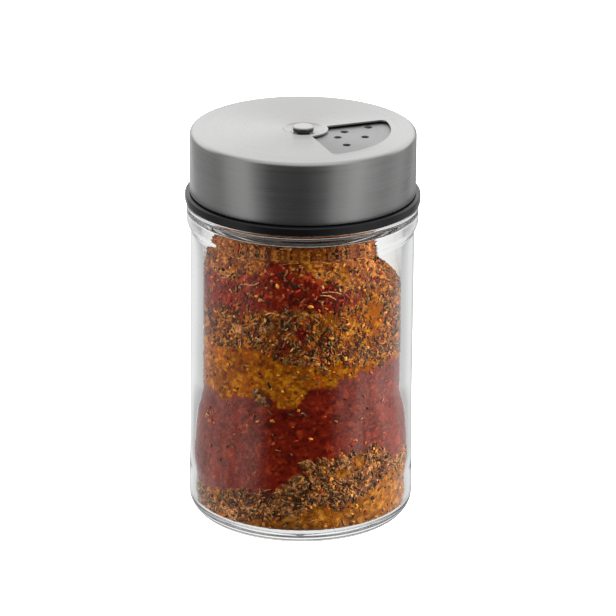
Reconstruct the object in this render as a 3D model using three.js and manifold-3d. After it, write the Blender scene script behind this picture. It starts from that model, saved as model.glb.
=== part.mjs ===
// A rotary-top spice shaker: a glass jar, a screw-on plastic inner cap that carries a perforated
// steel disc, and a brushed steel selector cap that turns on a centre rivet.
// Millimetres, +Z up, origin at the centre of the base.

import * as THREE from 'three';
import { mergeVertices } from 'three/addons/utils/BufferGeometryUtils.js';
import Module from 'manifold-3d';

const wasm = await Module();
wasm.setup();

// Fits between neighbouring pieces
const seatGap = 0.3;
const runGap = 0.3;
const threadGap = 0.4;
const overrun = 1;

// Smoothness, in steps
const roundSteps = 48;
const arcSteps = 4;
const blendSteps = 5;
const smallRoundSteps = 16;

// Glass jar
const jarHeight = 80.85;
const bodyRadius = 23.6;
const heelSwell = 0.25;
const heelRound = 4.6;
const heelBandTop = 8;
const heelFade = 14;
const standingWidth = 1.8;
const pushUp = 0.6;
const baseThickness = 2.9;
const wallThickness = 2.6;
const lowerWallThickness = 1.4;
const lowerWallTop = 19.5;
const wallTaper = 5;
const innerHeelRound = 1.4;
const beadSwell = 0.8;
const beadHeight = 3.6;
const beadBlend = 2.6;
const shoulderRound = 1.9;
const innerShoulderDepth = 3;
const innerShoulderSlope = 12;
const innerShoulderRound = 0.5;
const boreRound = 0.8;

// Neck of the jar and its screw thread
const neckHeight = 11.65;
const shoulderStep = 3.9;
const neckWall = 2.4;
const neckFillet = 0.6;
const rimRound = 0.7;
const threadPitch = 4.2;
const threadDepth = 1.25;
const threadLift = 3.75;
const threadTopRoom = 3.28;
const jarThreadWidth = 2;
const threadSideGap = 0.35;
const threadCrestShare = 0.45;
const threadRunOutShare = 0.06;
const capThreadTurns = 1;

// Inner cap, moulded in black plastic
const capWall = 1.7;
const flangeLip = 1;
const flangeHeight = 1.9;
const flangeRound = 0.4;
const capPlate = 1.2;
const capCorner = 0.6;
const portAngle = 70;
const portFillet = 1.2;
const portMargin = 0.6;
const keyWidth = 2.4;
const keyLength = 1.4;
const keySideGap = 0.3;

// Seal between the inner cap and the rim
const sealThickness = 1;
const sealSideGap = 0.3;

// Perforated steel disc
const discThickness = 0.4;
const discRimGap = 1.15;
const fineHoleRadius = 0.85;
const coarseHoleRadius = 1.6;
const pourAngle = 62;
const pourFillet = 1.4;
const pourMargin = 0.8;

// Selector cap, drawn from brushed steel sheet
const sheet = 0.35;
const shellGap = 0.35;
const shellCorner = 1.1;
const windowInner = 5.2;
const windowRim = 5.45;
const windowAngle = 92;
const windowOuterFillet = 1.2;
const windowInnerFillet = 0.5;
const dimpleFloor = 2.4;
const dimpleSlope = 1.9;

// Centre rivet and the washers under the inner cap
const rivetHeadRadius = 2.18;
const rivetHeadHeight = 1.05;
const rivetHeadRound = 0.4;
const rivetShankRadius = 1.3;
const rivetHoleGap = 0.3;
const springWasherRadius = 3.6;
const springWasherThickness = 0.3;
const springWave = 0.25;
const springWaves = 3;
const flatWasherRadius = 3.2;
const flatWasherThickness = 0.5;
const rivetTailRadius = 2.1;
const rivetTailHeight = 0.7;

// How the lid stands in the photograph, in degrees from +X
const windowBearing = -24.3;
const patternBearing = -14;

// Spice fill
const fillGap = 0.3;
const fillGridSteps = 9;
const slumpRun = 6.9;
const slumpDepth = 13.4;
const slumpRise = 7.6;
const slumpBearing = 8;

// Heights worked out from the sizes above
const shoulderTop = jarHeight - neckHeight;
const beadBottom = shoulderTop - beadHeight;
const innerShoulderStart = shoulderTop - innerShoulderDepth;
const lidBase = shoulderTop + seatGap;
const rimAboveLidBase = jarHeight - lidBase;
const sealBottom = rimAboveLidBase + seatGap;
const sealTop = sealBottom + sealThickness;
const plateBottom = sealTop + seatGap;
const plateTop = plateBottom + capPlate;
const discBottom = plateTop + seatGap;
const discTop = discBottom + discThickness;
const shellUnderside = discTop + runGap;
const shellTop = shellUnderside + sheet;
const shellBottom = flangeHeight + runGap;
const dimpleDepth = shellUnderside - plateTop - runGap;

// Radii worked out from the sizes above
const heelRadius = bodyRadius + heelSwell;
const beadRadius = bodyRadius + beadSwell;
const neckRadius = bodyRadius - shoulderStep;
const neckBore = neckRadius - neckWall;
const upperInner = bodyRadius - wallThickness;
const lowerInner = heelRadius - lowerWallThickness;
const threadCrestRadius = neckRadius + threadDepth;
const capBore = threadCrestRadius + threadGap;
const capWallRadius = capBore + capWall;
const shellInner = capWallRadius + shellGap;
const shellRadius = shellInner + sheet;
const flangeRadius = shellRadius + flangeLip;
const discRadius = capWallRadius - discRimGap;
const windowOuter = shellRadius - windowRim;
const rivetHole = rivetShankRadius + rivetHoleGap;
const portInner = windowInner + portMargin;
const portOuter = neckBore - portMargin;
const dimpleRim = dimpleFloor + dimpleSlope;

// The two threads share the pitch: the cap's ridge fills the groove beside the jar's
const jarThreadTurns = (neckHeight - threadLift - threadTopRoom) / threadPitch;
const capThreadWidth = threadPitch - jarThreadWidth - 2 * threadSideGap;

const radians = THREE.MathUtils.degToRad;
const point = (radius, height) => new THREE.Vector2(radius, height);

// Profile helpers: an arc and an easy S-shaped blend, both without their first point
function arcTo(centreRadius, centreHeight, radius, fromDegrees, toDegrees, steps = arcSteps) {
  const points = [];
  for (let step = 1; step <= steps; step += 1) {
    const angle = radians(fromDegrees + ((toDegrees - fromDegrees) * step) / steps);
    points.push(point(centreRadius + radius * Math.cos(angle), centreHeight + radius * Math.sin(angle)));
  }
  return points;
}

function blendTo(fromRadius, fromHeight, toRadius, toHeight, steps = blendSteps) {
  const points = [];
  for (let step = 1; step <= steps; step += 1) {
    const along = step / steps;
    const eased = (1 - Math.cos(Math.PI * along)) / 2;
    points.push(point(
      fromRadius + (toRadius - fromRadius) * eased,
      fromHeight + (toHeight - fromHeight) * along,
    ));
  }
  return points;
}

// Turns a closed three.js geometry into a solid, whichever way its faces were wound
function solidOf(geometry) {
  const bare = geometry.clone();
  bare.deleteAttribute('normal');
  bare.deleteAttribute('uv');
  const merged = mergeVertices(bare);
  const places = merged.getAttribute('position');
  const index = merged.getIndex();
  const corners = [];
  let volume = 0;
  const a = new THREE.Vector3();
  const b = new THREE.Vector3();
  const c = new THREE.Vector3();
  for (let first = 0; first < index.count; first += 3) {
    const [i, j, k] = [index.getX(first), index.getX(first + 1), index.getX(first + 2)];
    if (i !== j && j !== k && k !== i) {
      corners.push([i, j, k]);
      a.fromBufferAttribute(places, i);
      b.fromBufferAttribute(places, j);
      c.fromBufferAttribute(places, k);
      volume += a.dot(b.cross(c));
    }
  }
  const triangles = volume < 0 ? corners.map(([i, j, k]) => [i, k, j]) : corners;
  return new wasm.Manifold(new wasm.Mesh({
    numProp: 3,
    vertProperties: new Float32Array(places.array),
    triVerts: new Uint32Array(triangles.flat()),
  }));
}

function geometryOf(solid) {
  const mesh = solid.getMesh();
  const geometry = new THREE.BufferGeometry();
  geometry.setAttribute('position', new THREE.BufferAttribute(new Float32Array(mesh.vertProperties), 3));
  geometry.setIndex(Array.from(mesh.triVerts));
  geometry.computeVertexNormals();
  return geometry;
}

// A turned solid from a profile of (radius, height) points
function turned(profile, steps = roundSteps) {
  const geometry = new THREE.LatheGeometry(profile, steps);
  geometry.rotateX(Math.PI / 2);
  return solidOf(geometry);
}

// A flat ring or round plate
function ring(innerRadius, outerRadius, bottom, top, steps = roundSteps) {
  const start = point(innerRadius, bottom);
  return turned([start, point(outerRadius, bottom), point(outerRadius, top), point(innerRadius, top),
    start.clone()], steps);
}

function post(radius, bottom, top, steps = smallRoundSteps) {
  return turned([point(0, bottom), point(radius, bottom), point(radius, top), point(0, top)], steps);
}

// A prism of a flat outline, standing from bottom to top
function prism(outline, bottom, top, steps = arcSteps) {
  const geometry = new THREE.ExtrudeGeometry(outline, {
    depth: top - bottom,
    bevelEnabled: false,
    curveSegments: steps,
  });
  geometry.translate(0, 0, bottom);
  return solidOf(geometry);
}

// Outline of a sector of a ring, centred on +X, with rounded corners
function sectorOutline(innerRadius, outerRadius, fullAngle, innerFillet, outerFillet) {
  const half = radians(fullAngle) / 2;
  const outerTurn = Math.asin(outerFillet / (outerRadius - outerFillet));
  const innerTurn = Math.asin(innerFillet / (innerRadius + innerFillet));
  const arcs = 16;
  const outline = new THREE.Shape();
  const points = [];
  const sweep = (centreX, centreY, radius, from, to, steps) => {
    for (let step = 0; step <= steps; step += 1) {
      const angle = from + ((to - from) * step) / steps;
      points.push(new THREE.Vector2(centreX + radius * Math.cos(angle), centreY + radius * Math.sin(angle)));
    }
  };
  const corner = (side, reach, turn, radius, from, to) => {
    const bearing = side * (half - turn);
    sweep(reach * Math.cos(bearing), reach * Math.sin(bearing), radius, from, to, arcSteps);
  };
  const quarter = Math.PI / 2;
  sweep(0, 0, outerRadius, -(half - outerTurn), half - outerTurn, arcs);
  corner(1, outerRadius - outerFillet, outerTurn, outerFillet, half - outerTurn, half + quarter);
  corner(1, innerRadius + innerFillet, innerTurn, innerFillet, half + quarter, half - innerTurn + Math.PI);
  sweep(0, 0, innerRadius, half - innerTurn, -(half - innerTurn), arcs / 2);
  corner(-1, innerRadius + innerFillet, innerTurn, innerFillet, -(half - innerTurn) + Math.PI,
    -(half + quarter) + 2 * Math.PI);
  corner(-1, outerRadius - outerFillet, outerTurn, outerFillet, -(half + quarter), -(half - outerTurn));
  outline.setFromPoints(points);
  return outline;
}

// A screw thread ridge on a cylinder wall; reach is positive outwards and negative inwards
function threadRidge(wallRadius, reach, rootWidth, startHeight, turns) {
  const steps = Math.round(turns * roundSteps);
  const crestWidth = rootWidth * threadCrestShare;
  const buried = Math.sign(reach) * seatGap;
  const positions = [];
  const faces = [];
  for (let step = 0; step <= steps; step += 1) {
    const along = step / steps;
    const angle = 2 * Math.PI * turns * along;
    const height = startHeight + threadPitch * turns * along;
    const nearEnd = Math.min(along, 1 - along) / threadRunOutShare;
    const rise = Math.max(Math.sin((Math.min(nearEnd, 1) * Math.PI) / 2), threadRunOutShare);
    const section = [
      [wallRadius - buried, -rootWidth / 2],
      [wallRadius + reach * rise, -crestWidth / 2],
      [wallRadius + reach * rise, crestWidth / 2],
      [wallRadius - buried, rootWidth / 2],
    ];
    section.forEach(([radius, offset]) => {
      positions.push(radius * Math.cos(angle), radius * Math.sin(angle), height + offset);
    });
    if (step > 0) {
      const here = step * 4;
      const before = here - 4;
      for (let side = 0; side < 4; side += 1) {
        const next = (side + 1) % 4;
        faces.push(before + side, here + side, here + next, before + side, here + next, before + next);
      }
    }
  }
  const last = steps * 4;
  faces.push(0, 1, 2, 0, 2, 3, last, last + 2, last + 1, last, last + 3, last + 2);
  const geometry = new THREE.BufferGeometry();
  geometry.setAttribute('position', new THREE.Float32BufferAttribute(positions, 3));
  geometry.setIndex(faces);
  return solidOf(geometry);
}

// Inside of the jar from the floor up to the shoulder, shared by the glass and by the fill
function innerWall(clearance) {
  const floor = baseThickness + clearance;
  const lower = lowerInner - clearance;
  const upper = upperInner - clearance;
  return [
    point(0, floor),
    point(lower - innerHeelRound, floor),
    ...arcTo(lower - innerHeelRound, floor + innerHeelRound, innerHeelRound, -90, 0),
    point(lower, lowerWallTop),
    ...blendTo(lower, lowerWallTop, upper, lowerWallTop + wallTaper, blendSteps - 2),
    point(upper, innerShoulderStart - clearance),
  ];
}

// Underside of the shoulder, from the wall in to the bore: a shallow cone between two rounds
function innerShoulder() {
  const turn = 90 - innerShoulderSlope;
  const outerRound = arcTo(upperInner - innerShoulderRound, innerShoulderStart, innerShoulderRound, 0, turn);
  const coneStart = outerRound[outerRound.length - 1];
  const coneEnd = neckBore + boreRound * (1 - Math.cos(radians(turn)));
  const coneTop = coneStart.y + (coneStart.x - coneEnd) * Math.tan(radians(innerShoulderSlope));
  const roundHeight = coneTop + boreRound * Math.sin(radians(turn));
  return [
    ...outerRound,
    point(coneEnd, coneTop),
    ...arcTo(neckBore + boreRound, roundHeight, boreRound, 180 + turn, 180),
  ];
}

function outerProfile() {
  const standOuter = heelRadius - heelRound;
  const standInner = standOuter - standingWidth;
  return [
    point(0, pushUp),
    point(standInner / 2, (pushUp * 3) / 4),
    point(standInner, 0),
    point(standOuter, 0),
    ...arcTo(standOuter, heelRound, heelRound, -90, 0, arcSteps + 1),
    point(heelRadius, heelBandTop),
    ...blendTo(heelRadius, heelBandTop, bodyRadius, heelBandTop + heelFade, blendSteps - 2),
    point(bodyRadius, beadBottom - beadBlend),
    ...blendTo(bodyRadius, beadBottom - beadBlend, beadRadius, beadBottom),
    point(beadRadius, shoulderTop - shoulderRound),
    ...arcTo(beadRadius - shoulderRound, shoulderTop - shoulderRound, shoulderRound, 0, 90),
    point(neckRadius + neckFillet, shoulderTop),
    ...arcTo(neckRadius + neckFillet, shoulderTop + neckFillet, neckFillet, -90, -180, arcSteps - 1),
    point(neckRadius, jarHeight - rimRound),
    ...arcTo(neckRadius - rimRound, jarHeight - rimRound, rimRound, 0, 90, arcSteps - 1),
    point(neckBore + rimRound, jarHeight),
    ...arcTo(neckBore + rimRound, jarHeight - rimRound, rimRound, 90, 180, arcSteps - 1),
  ];
}

function glassJar() {
  const wall = turned([...outerProfile(), ...innerShoulder().reverse(), ...innerWall(0).reverse()]);
  const thread = threadRidge(neckRadius, threadDepth, jarThreadWidth, shoulderTop + threadLift,
    jarThreadTurns);
  return wall.add(thread);
}

function innerCap() {
  const wallStart = point(capBore, 0);
  const body = turned([
    wallStart,
    point(flangeRadius - flangeRound, 0),
    ...arcTo(flangeRadius - flangeRound, flangeRound, flangeRound, -90, 0, arcSteps - 1),
    point(flangeRadius, flangeHeight - flangeRound),
    ...arcTo(flangeRadius - flangeRound, flangeHeight - flangeRound, flangeRound, 0, 90, arcSteps - 1),
    point(capWallRadius, flangeHeight),
    point(capWallRadius, plateTop - capCorner),
    point(capWallRadius - capCorner, plateTop),
    point(rivetHole, plateTop),
    point(rivetHole, plateBottom),
    point(capBore, plateBottom),
    wallStart.clone(),
  ]);
  const threadStart = threadLift - seatGap - threadPitch / 2;
  let solid = body.add(threadRidge(capBore, -threadDepth, capThreadWidth, threadStart, capThreadTurns));
  const port = prism(sectorOutline(portInner, portOuter, portAngle, portFillet, portFillet),
    plateBottom - overrun, plateTop + overrun);
  [0, 90, 180].forEach((bearing) => {
    solid = solid.subtract(port.rotate([0, 0, bearing]));
  });
  [0, 180].forEach((bearing) => {
    solid = solid.add(discKey(keyWidth, keyLength, plateTop - seatGap, discTop).rotate([0, 0, bearing + 45]));
  });
  return solid;
}

// A block at the rim of the disc: the cap's key, or the wider notch that it stands in
function discKey(width, length, bottom, top) {
  const outline = new THREE.Shape();
  const outer = discRadius;
  outline.moveTo(outer - length, -width / 2);
  outline.lineTo(outer, -width / 2);
  outline.lineTo(outer, width / 2);
  outline.lineTo(outer - length, width / 2);
  outline.closePath();
  return prism(outline, bottom, top);
}

function rimSeal() {
  return ring(neckBore + sealSideGap, capBore - sealSideGap, sealBottom, sealTop);
}

// Places of the fine holes: distance as a share of the window's outer radius, and bearing in
// degrees from the middle of their quarter of the disc
const fineHoleShares = [[0.765, 27.5], [0.727, -0.5], [0.692, -30.5], [0.469, 14], [0.443, -13.5]];
const coarseHoleShares = [[0.74, 26], [0.74, 0], [0.74, -26], [0.46, 0]];

function punchHoles(disc, shares, holeRadius, quarter) {
  let solid = disc;
  shares.forEach(([distanceShare, bearing]) => {
    const angle = radians(quarter + bearing);
    const reach = distanceShare * windowOuter;
    const punch = post(holeRadius, discBottom - overrun, discTop + overrun);
    solid = solid.subtract(punch.translate([reach * Math.cos(angle), reach * Math.sin(angle), 0]));
  });
  return solid;
}

function sifterDisc() {
  let solid = ring(dimpleRim + runGap, discRadius, discBottom, discTop);
  solid = punchHoles(solid, fineHoleShares, fineHoleRadius, 0);
  solid = punchHoles(solid, coarseHoleShares, coarseHoleRadius, 90);
  const pour = prism(sectorOutline(portInner + pourMargin, portOuter - pourMargin, pourAngle,
    pourFillet, pourFillet), discBottom - overrun, discTop + overrun);
  solid = solid.subtract(pour.rotate([0, 0, 180]));
  [0, 180].forEach((bearing) => {
    const notch = discKey(keyWidth + 2 * keySideGap, keyLength + keySideGap, discBottom - overrun,
      discTop + overrun);
    const wider = notch.add(notch.translate([keySideGap, 0, 0]));
    solid = solid.subtract(wider.rotate([0, 0, bearing + 45]));
  });
  return solid;
}

function selectorCap() {
  const dimpleTop = shellTop - dimpleDepth;
  const dimpleUnder = shellUnderside - dimpleDepth;
  const start = point(rivetHole, dimpleTop);
  const shell = turned([
    start,
    point(dimpleFloor, dimpleTop),
    ...blendTo(dimpleFloor, dimpleTop, dimpleRim, shellTop, arcSteps - 1),
    point(shellRadius - shellCorner, shellTop),
    ...arcTo(shellRadius - shellCorner, shellTop - shellCorner, shellCorner, 90, 0),
    point(shellRadius, shellBottom),
    point(shellInner, shellBottom),
    point(shellInner, shellTop - shellCorner),
    ...arcTo(shellRadius - shellCorner, shellTop - shellCorner, shellCorner - sheet, 0, 90),
    point(dimpleRim, shellUnderside),
    ...blendTo(dimpleRim, shellUnderside, dimpleFloor, dimpleUnder, arcSteps - 1),
    point(rivetHole, dimpleUnder),
    start.clone(),
  ]);
  const opening = prism(sectorOutline(windowInner, windowOuter, windowAngle, windowInnerFillet,
    windowOuterFillet), shellUnderside - overrun, shellTop + overrun);
  return shell.subtract(opening);
}

function springWasherTop() {
  return plateBottom - seatGap;
}

function flatWasherTop() {
  return springWasherTop() - 2 * springWave - springWasherThickness - seatGap;
}

function rivetTailTop() {
  return flatWasherTop() - flatWasherThickness - seatGap;
}

function pivotRivet() {
  const headBottom = shellTop - dimpleDepth + seatGap;
  const headTop = headBottom + rivetHeadHeight;
  const tailTop = rivetTailTop();
  const tailBottom = tailTop - rivetTailHeight;
  return turned([
    point(0, tailBottom),
    point(rivetTailRadius - rivetHeadRound, tailBottom),
    ...arcTo(rivetTailRadius - rivetHeadRound, tailBottom + rivetHeadRound, rivetHeadRound, -90, 0, 2),
    point(rivetTailRadius, tailTop),
    point(rivetShankRadius, tailTop),
    point(rivetShankRadius, headBottom),
    point(rivetHeadRadius, headBottom),
    point(rivetHeadRadius, headTop - rivetHeadRound),
    ...arcTo(rivetHeadRadius - rivetHeadRound, headTop - rivetHeadRound, rivetHeadRound, 0, 90, arcSteps - 1),
    point(0, headTop),
  ], smallRoundSteps * 2);
}

// A wavy ring that presses the rivet's tail away from the inner cap
function springWasher() {
  const steps = smallRoundSteps * 3;
  const middle = springWasherTop() - springWave - springWasherThickness / 2;
  const positions = [];
  const faces = [];
  for (let step = 0; step < steps; step += 1) {
    const angle = (2 * Math.PI * step) / steps;
    const height = middle + springWave * Math.cos(springWaves * angle);
    const section = [[rivetHole, -1], [springWasherRadius, -1], [springWasherRadius, 1], [rivetHole, 1]];
    section.forEach(([radius, side]) => {
      const level = height + (side * springWasherThickness) / 2;
      positions.push(radius * Math.cos(angle), radius * Math.sin(angle), level);
    });
    const here = step * 4;
    const after = ((step + 1) % steps) * 4;
    for (let side = 0; side < 4; side += 1) {
      const next = (side + 1) % 4;
      faces.push(here + side, here + next, after + next, here + side, after + next, after + side);
    }
  }
  const geometry = new THREE.BufferGeometry();
  geometry.setAttribute('position', new THREE.Float32BufferAttribute(positions, 3));
  geometry.setIndex(faces);
  return solidOf(geometry);
}

function rivetWasher() {
  const top = flatWasherTop();
  return ring(rivetHole, flatWasherRadius, top - flatWasherThickness, top, smallRoundSteps * 2);
}

// The spice fill is one body of the jar's inside, cut into the layers that show through the glass.
// It stands up to the shoulder, but has slumped away from the wall on one side.
const fillTop = innerShoulderStart - fillGap;

function slumpCut() {
  const low = fillTop - slumpDepth;
  const near = upperInner - slumpRun;
  const far = upperInner + overrun;
  const outline = new THREE.Shape();
  outline.moveTo(near, fillTop + overrun);
  outline.lineTo(near, low + slumpRise);
  outline.lineTo(near + slumpRun / 3, low + slumpRise / 5);
  outline.lineTo(far, low);
  outline.lineTo(far, fillTop + overrun);
  outline.closePath();
  const geometry = new THREE.ExtrudeGeometry(outline, {
    depth: 2 * bodyRadius,
    bevelEnabled: false,
  });
  geometry.translate(0, 0, -bodyRadius);
  geometry.rotateX(Math.PI / 2);
  geometry.rotateZ(radians(slumpBearing));
  return solidOf(geometry);
}

function wholeFill() {
  const full = turned([...innerWall(fillGap), point(0, fillTop)], roundSteps * 2 / 3);
  return full.subtract(slumpCut());
}

// Layer boundaries, from the floor up: middle height as a share of the filled height, tilt towards
// +X and wave depth as shares of the body radius, and a phase in degrees for the wave
const layerShares = [
  { heightShare: 0.075, tiltShare: 0.04, waveShare: 0.03, phase: 20 },
  { heightShare: 0.21, tiltShare: 0.06, waveShare: 0.05, phase: 130 },
  { heightShare: 0.47, tiltShare: 0.06, waveShare: 0.04, phase: 75 },
  { heightShare: 0.59, tiltShare: -0.06, waveShare: 0.04, phase: 210 },
  { heightShare: 0.85, tiltShare: -0.04, waveShare: 0.04, phase: 300 },
];
const layerNames = ['turmeric_bed', 'herb_layer', 'paprika_layer', 'turmeric_layer', 'chilli_layer',
  'spice_mound'];

function boundaryHeight(share, x, y) {
  const filled = fillTop - baseThickness;
  const phase = radians(share.phase);
  const wave = Math.sin((x * Math.cos(phase) + y * Math.sin(phase)) * (Math.PI / bodyRadius));
  return baseThickness + filled * share.heightShare + x * share.tiltShare
    + bodyRadius * share.waveShare * wave;
}

// A square block whose bottom and top follow two layer boundaries, or flat ends past the fill
function layerBlock(lower, upper) {
  const half = bodyRadius + overrun;
  const count = fillGridSteps + 1;
  const positions = [];
  const faces = [];
  const level = (share, x, y, side) => {
    if (!share) {
      return side < 0 ? baseThickness - overrun : fillTop + overrun;
    }
    return boundaryHeight(share, x, y) - (side * fillGap) / 2;
  };
  [[lower, -1], [upper, 1]].forEach(([share, side]) => {
    for (let row = 0; row < count; row += 1) {
      for (let column = 0; column < count; column += 1) {
        const x = -half + (2 * half * column) / fillGridSteps;
        const y = -half + (2 * half * row) / fillGridSteps;
        positions.push(x, y, level(share, x, y, side));
      }
    }
  });
  const sheetStart = count * count;
  for (let row = 0; row < fillGridSteps; row += 1) {
    for (let column = 0; column < fillGridSteps; column += 1) {
      const i = row * count + column;
      const [a, b, c, d] = [i, i + 1, i + count + 1, i + count];
      faces.push(a, c, b, a, d, c);
      faces.push(a + sheetStart, b + sheetStart, c + sheetStart, a + sheetStart, c + sheetStart, d + sheetStart);
    }
  }
  const rim = [];
  for (let column = 0; column < fillGridSteps; column += 1) rim.push(column);
  for (let row = 0; row < fillGridSteps; row += 1) rim.push(row * count + fillGridSteps);
  for (let column = fillGridSteps; column > 0; column -= 1) rim.push(fillGridSteps * count + column);
  for (let row = fillGridSteps; row > 0; row -= 1) rim.push(row * count);
  rim.forEach((here, place) => {
    const next = rim[(place + 1) % rim.length];
    faces.push(here, next, next + sheetStart, here, next + sheetStart, here + sheetStart);
  });
  const geometry = new THREE.BufferGeometry();
  geometry.setAttribute('position', new THREE.Float32BufferAttribute(positions, 3));
  geometry.setIndex(faces);
  return solidOf(geometry);
}

function fillLayers() {
  const fill = wholeFill();
  return layerNames.map((name, place) => {
    const lower = layerShares[place - 1];
    const upper = layerShares[place];
    return [name, fill.intersect(layerBlock(lower, upper))];
  });
}

// Materials
function finish(color, roughness, metalness, extra = {}) {
  return new THREE.MeshStandardMaterial({ color, roughness, metalness, ...extra });
}

const glass = finish(0xeef3f1, 0.05, 0, { transparent: true, opacity: 0.3 });
const blackPlastic = finish(0x17181a, 0.35, 0);
const sealWhite = finish(0xe9e8e2, 0.7, 0);
const brushedSteel = finish(0xb9b8b6, 0.32, 1);
const discSteel = finish(0xa9a9a8, 0.4, 1);
const rivetSteel = finish(0xcfcdc9, 0.2, 1);
const springSteel = finish(0x8f9091, 0.35, 1);
const layerColours = {
  turmeric_bed: 0xb5701f,
  herb_layer: 0x5b4324,
  paprika_layer: 0x6f2318,
  turmeric_layer: 0xa8671f,
  chilli_layer: 0x7a2c19,
  spice_mound: 0x8a4a22,
};

function mesh(name, solid, material) {
  const piece = new THREE.Mesh(geometryOf(solid), material);
  piece.name = name;
  return piece;
}

// The assembly: the jar stands still, the lid is screwed on, and the selector turns on the lid
const shaker = new THREE.Group();
shaker.add(mesh('glass_jar', glassJar(), glass));
fillLayers().forEach(([name, solid]) => {
  shaker.add(mesh(name, solid, finish(layerColours[name], 0.95, 0)));
});

const lid = new THREE.Group();
lid.position.z = lidBase;
lid.add(mesh('rim_seal', rimSeal(), sealWhite));
shaker.add(lid);

const keyedPieces = new THREE.Group();
keyedPieces.rotation.z = radians(patternBearing);
keyedPieces.add(mesh('inner_cap', innerCap(), blackPlastic));
keyedPieces.add(mesh('sifter_disc', sifterDisc(), discSteel));
keyedPieces.add(mesh('spring_washer', springWasher(), springSteel));
keyedPieces.add(mesh('rivet_washer', rivetWasher(), springSteel));
keyedPieces.add(mesh('pivot_rivet', pivotRivet(), rivetSteel));
lid.add(keyedPieces);

const selector = new THREE.Group();
selector.rotation.z = radians(windowBearing);
selector.add(mesh('selector_cap', selectorCap(), brushedSteel));
lid.add(selector);

export default shaker;
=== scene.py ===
"""Looks of a rotary-top spice shaker: a glass jar of layered spices under a brushed steel lid."""

import math

import bmesh
import bpy
import numpy as np
from mathutils import Matrix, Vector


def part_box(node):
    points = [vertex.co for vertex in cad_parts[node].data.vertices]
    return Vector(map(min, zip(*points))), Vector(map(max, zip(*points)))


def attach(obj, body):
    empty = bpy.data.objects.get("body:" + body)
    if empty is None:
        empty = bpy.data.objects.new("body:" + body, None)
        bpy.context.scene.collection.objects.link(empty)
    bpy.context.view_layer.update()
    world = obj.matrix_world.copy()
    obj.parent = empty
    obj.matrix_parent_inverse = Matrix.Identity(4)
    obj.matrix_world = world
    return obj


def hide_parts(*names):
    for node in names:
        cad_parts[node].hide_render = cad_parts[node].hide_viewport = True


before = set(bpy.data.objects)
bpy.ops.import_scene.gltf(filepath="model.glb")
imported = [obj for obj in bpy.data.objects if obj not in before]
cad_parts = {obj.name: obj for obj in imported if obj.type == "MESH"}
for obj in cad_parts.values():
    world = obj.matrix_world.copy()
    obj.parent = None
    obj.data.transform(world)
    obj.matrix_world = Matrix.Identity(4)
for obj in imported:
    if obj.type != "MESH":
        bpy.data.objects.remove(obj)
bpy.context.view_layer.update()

MM = 0.001
TURN = 2 * math.pi
UNIT = (0, 1)
SEED = 7

# Fits between neighbouring pieces
SEAT_GAP = 0.3 * MM
RUN_GAP = 0.3 * MM
THREAD_GAP = 0.4 * MM
OVERRUN = 1 * MM
MERGE_DISTANCE = 0.001 * MM

# Smoothness, in steps, and the angles in degrees past which an edge is sharp or pressed round
COLUMNS = 192
FINE_COLUMNS = 256
FILL_COLUMNS = 480
SMALL_COLUMNS = 96
ARC_STEPS = 8
BLEND_STEPS = 16
SECTOR_STEPS = 48
HOLE_STEPS = 40
THREAD_ROW = 0.2 * MM
FILL_ROW = 0.27 * MM
LATTICE = 32
SHARP_ANGLE = 35
PRESSED_ANGLE = 50
PRESSED_SEGMENTS = 2

# Glass jar. A noise layer is its strength, the size of its cells and its seed
HEEL_SWELL = 0.25 * MM
HEEL_ROUND = 4.6 * MM
HEEL_BAND_TOP = 8 * MM
HEEL_FADE = 14 * MM
STANDING_WIDTH = 1.8 * MM
PUSH_UP = 0.6 * MM
BASE_THICKNESS = 2.9 * MM
WALL_THICKNESS = 2.6 * MM
LOWER_WALL_THICKNESS = 1.4 * MM
LOWER_WALL_TOP = 13 * MM
WALL_TAPER = 15 * MM
INNER_HEEL_ROUND = 1.4 * MM
BEAD_SWELL = 0.8 * MM
BEAD_HEIGHT = 3.6 * MM
BEAD_BLEND = 2.6 * MM
SHOULDER_ROUND = 0.9 * MM
INNER_SHOULDER_DEPTH = 3 * MM
INNER_SHOULDER_SLOPE = 24
INNER_SHOULDER_ROUND = 0.5 * MM
BORE_ROUND = 0.8 * MM
GLASS_WAVES = ((0.05 * MM, 9 * MM, 1),)
GLASS_WAVE_STRETCH = 2

# Neck and screw thread
NECK_HEIGHT = 11.65 * MM
SHOULDER_STEP = 3.9 * MM
NECK_WALL = 2.4 * MM
NECK_FILLET = 0.6 * MM
RIM_ROUND = 0.7 * MM
THREAD_PITCH = 4.2 * MM
THREAD_DEPTH = 1.25 * MM
THREAD_LIFT = 3.75 * MM
THREAD_TOP_ROOM = 3.28 * MM
JAR_THREAD_WIDTH = 2 * MM
THREAD_SIDE_GAP = 0.35 * MM
THREAD_CREST_SHARE = 0.45
THREAD_RUN_OUT_SHARE = 0.06
CAP_THREAD_TURNS = 1

# Inner cap
CAP_WALL = 1.7 * MM
FLANGE_LIP = 1 * MM
FLANGE_HEIGHT = 1.9 * MM
FLANGE_ROUND = 0.4 * MM
CAP_PLATE = 1.2 * MM
CAP_CORNER = 0.6 * MM
PORT_ANGLE = 70
PORT_FILLET = 1.2 * MM
PORT_MARGIN = 0.6 * MM
PORT_BEARINGS = (0, 90, 180)
KEY_WIDTH = 2.4 * MM
KEY_LENGTH = 1.4 * MM
KEY_SIDE_GAP = 0.3 * MM
KEY_BEARINGS = (45, 225)

# Seal
SEAL_THICKNESS = 1 * MM
SEAL_SIDE_GAP = 0.3 * MM
SEAL_ROUND = 0.3 * MM

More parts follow.
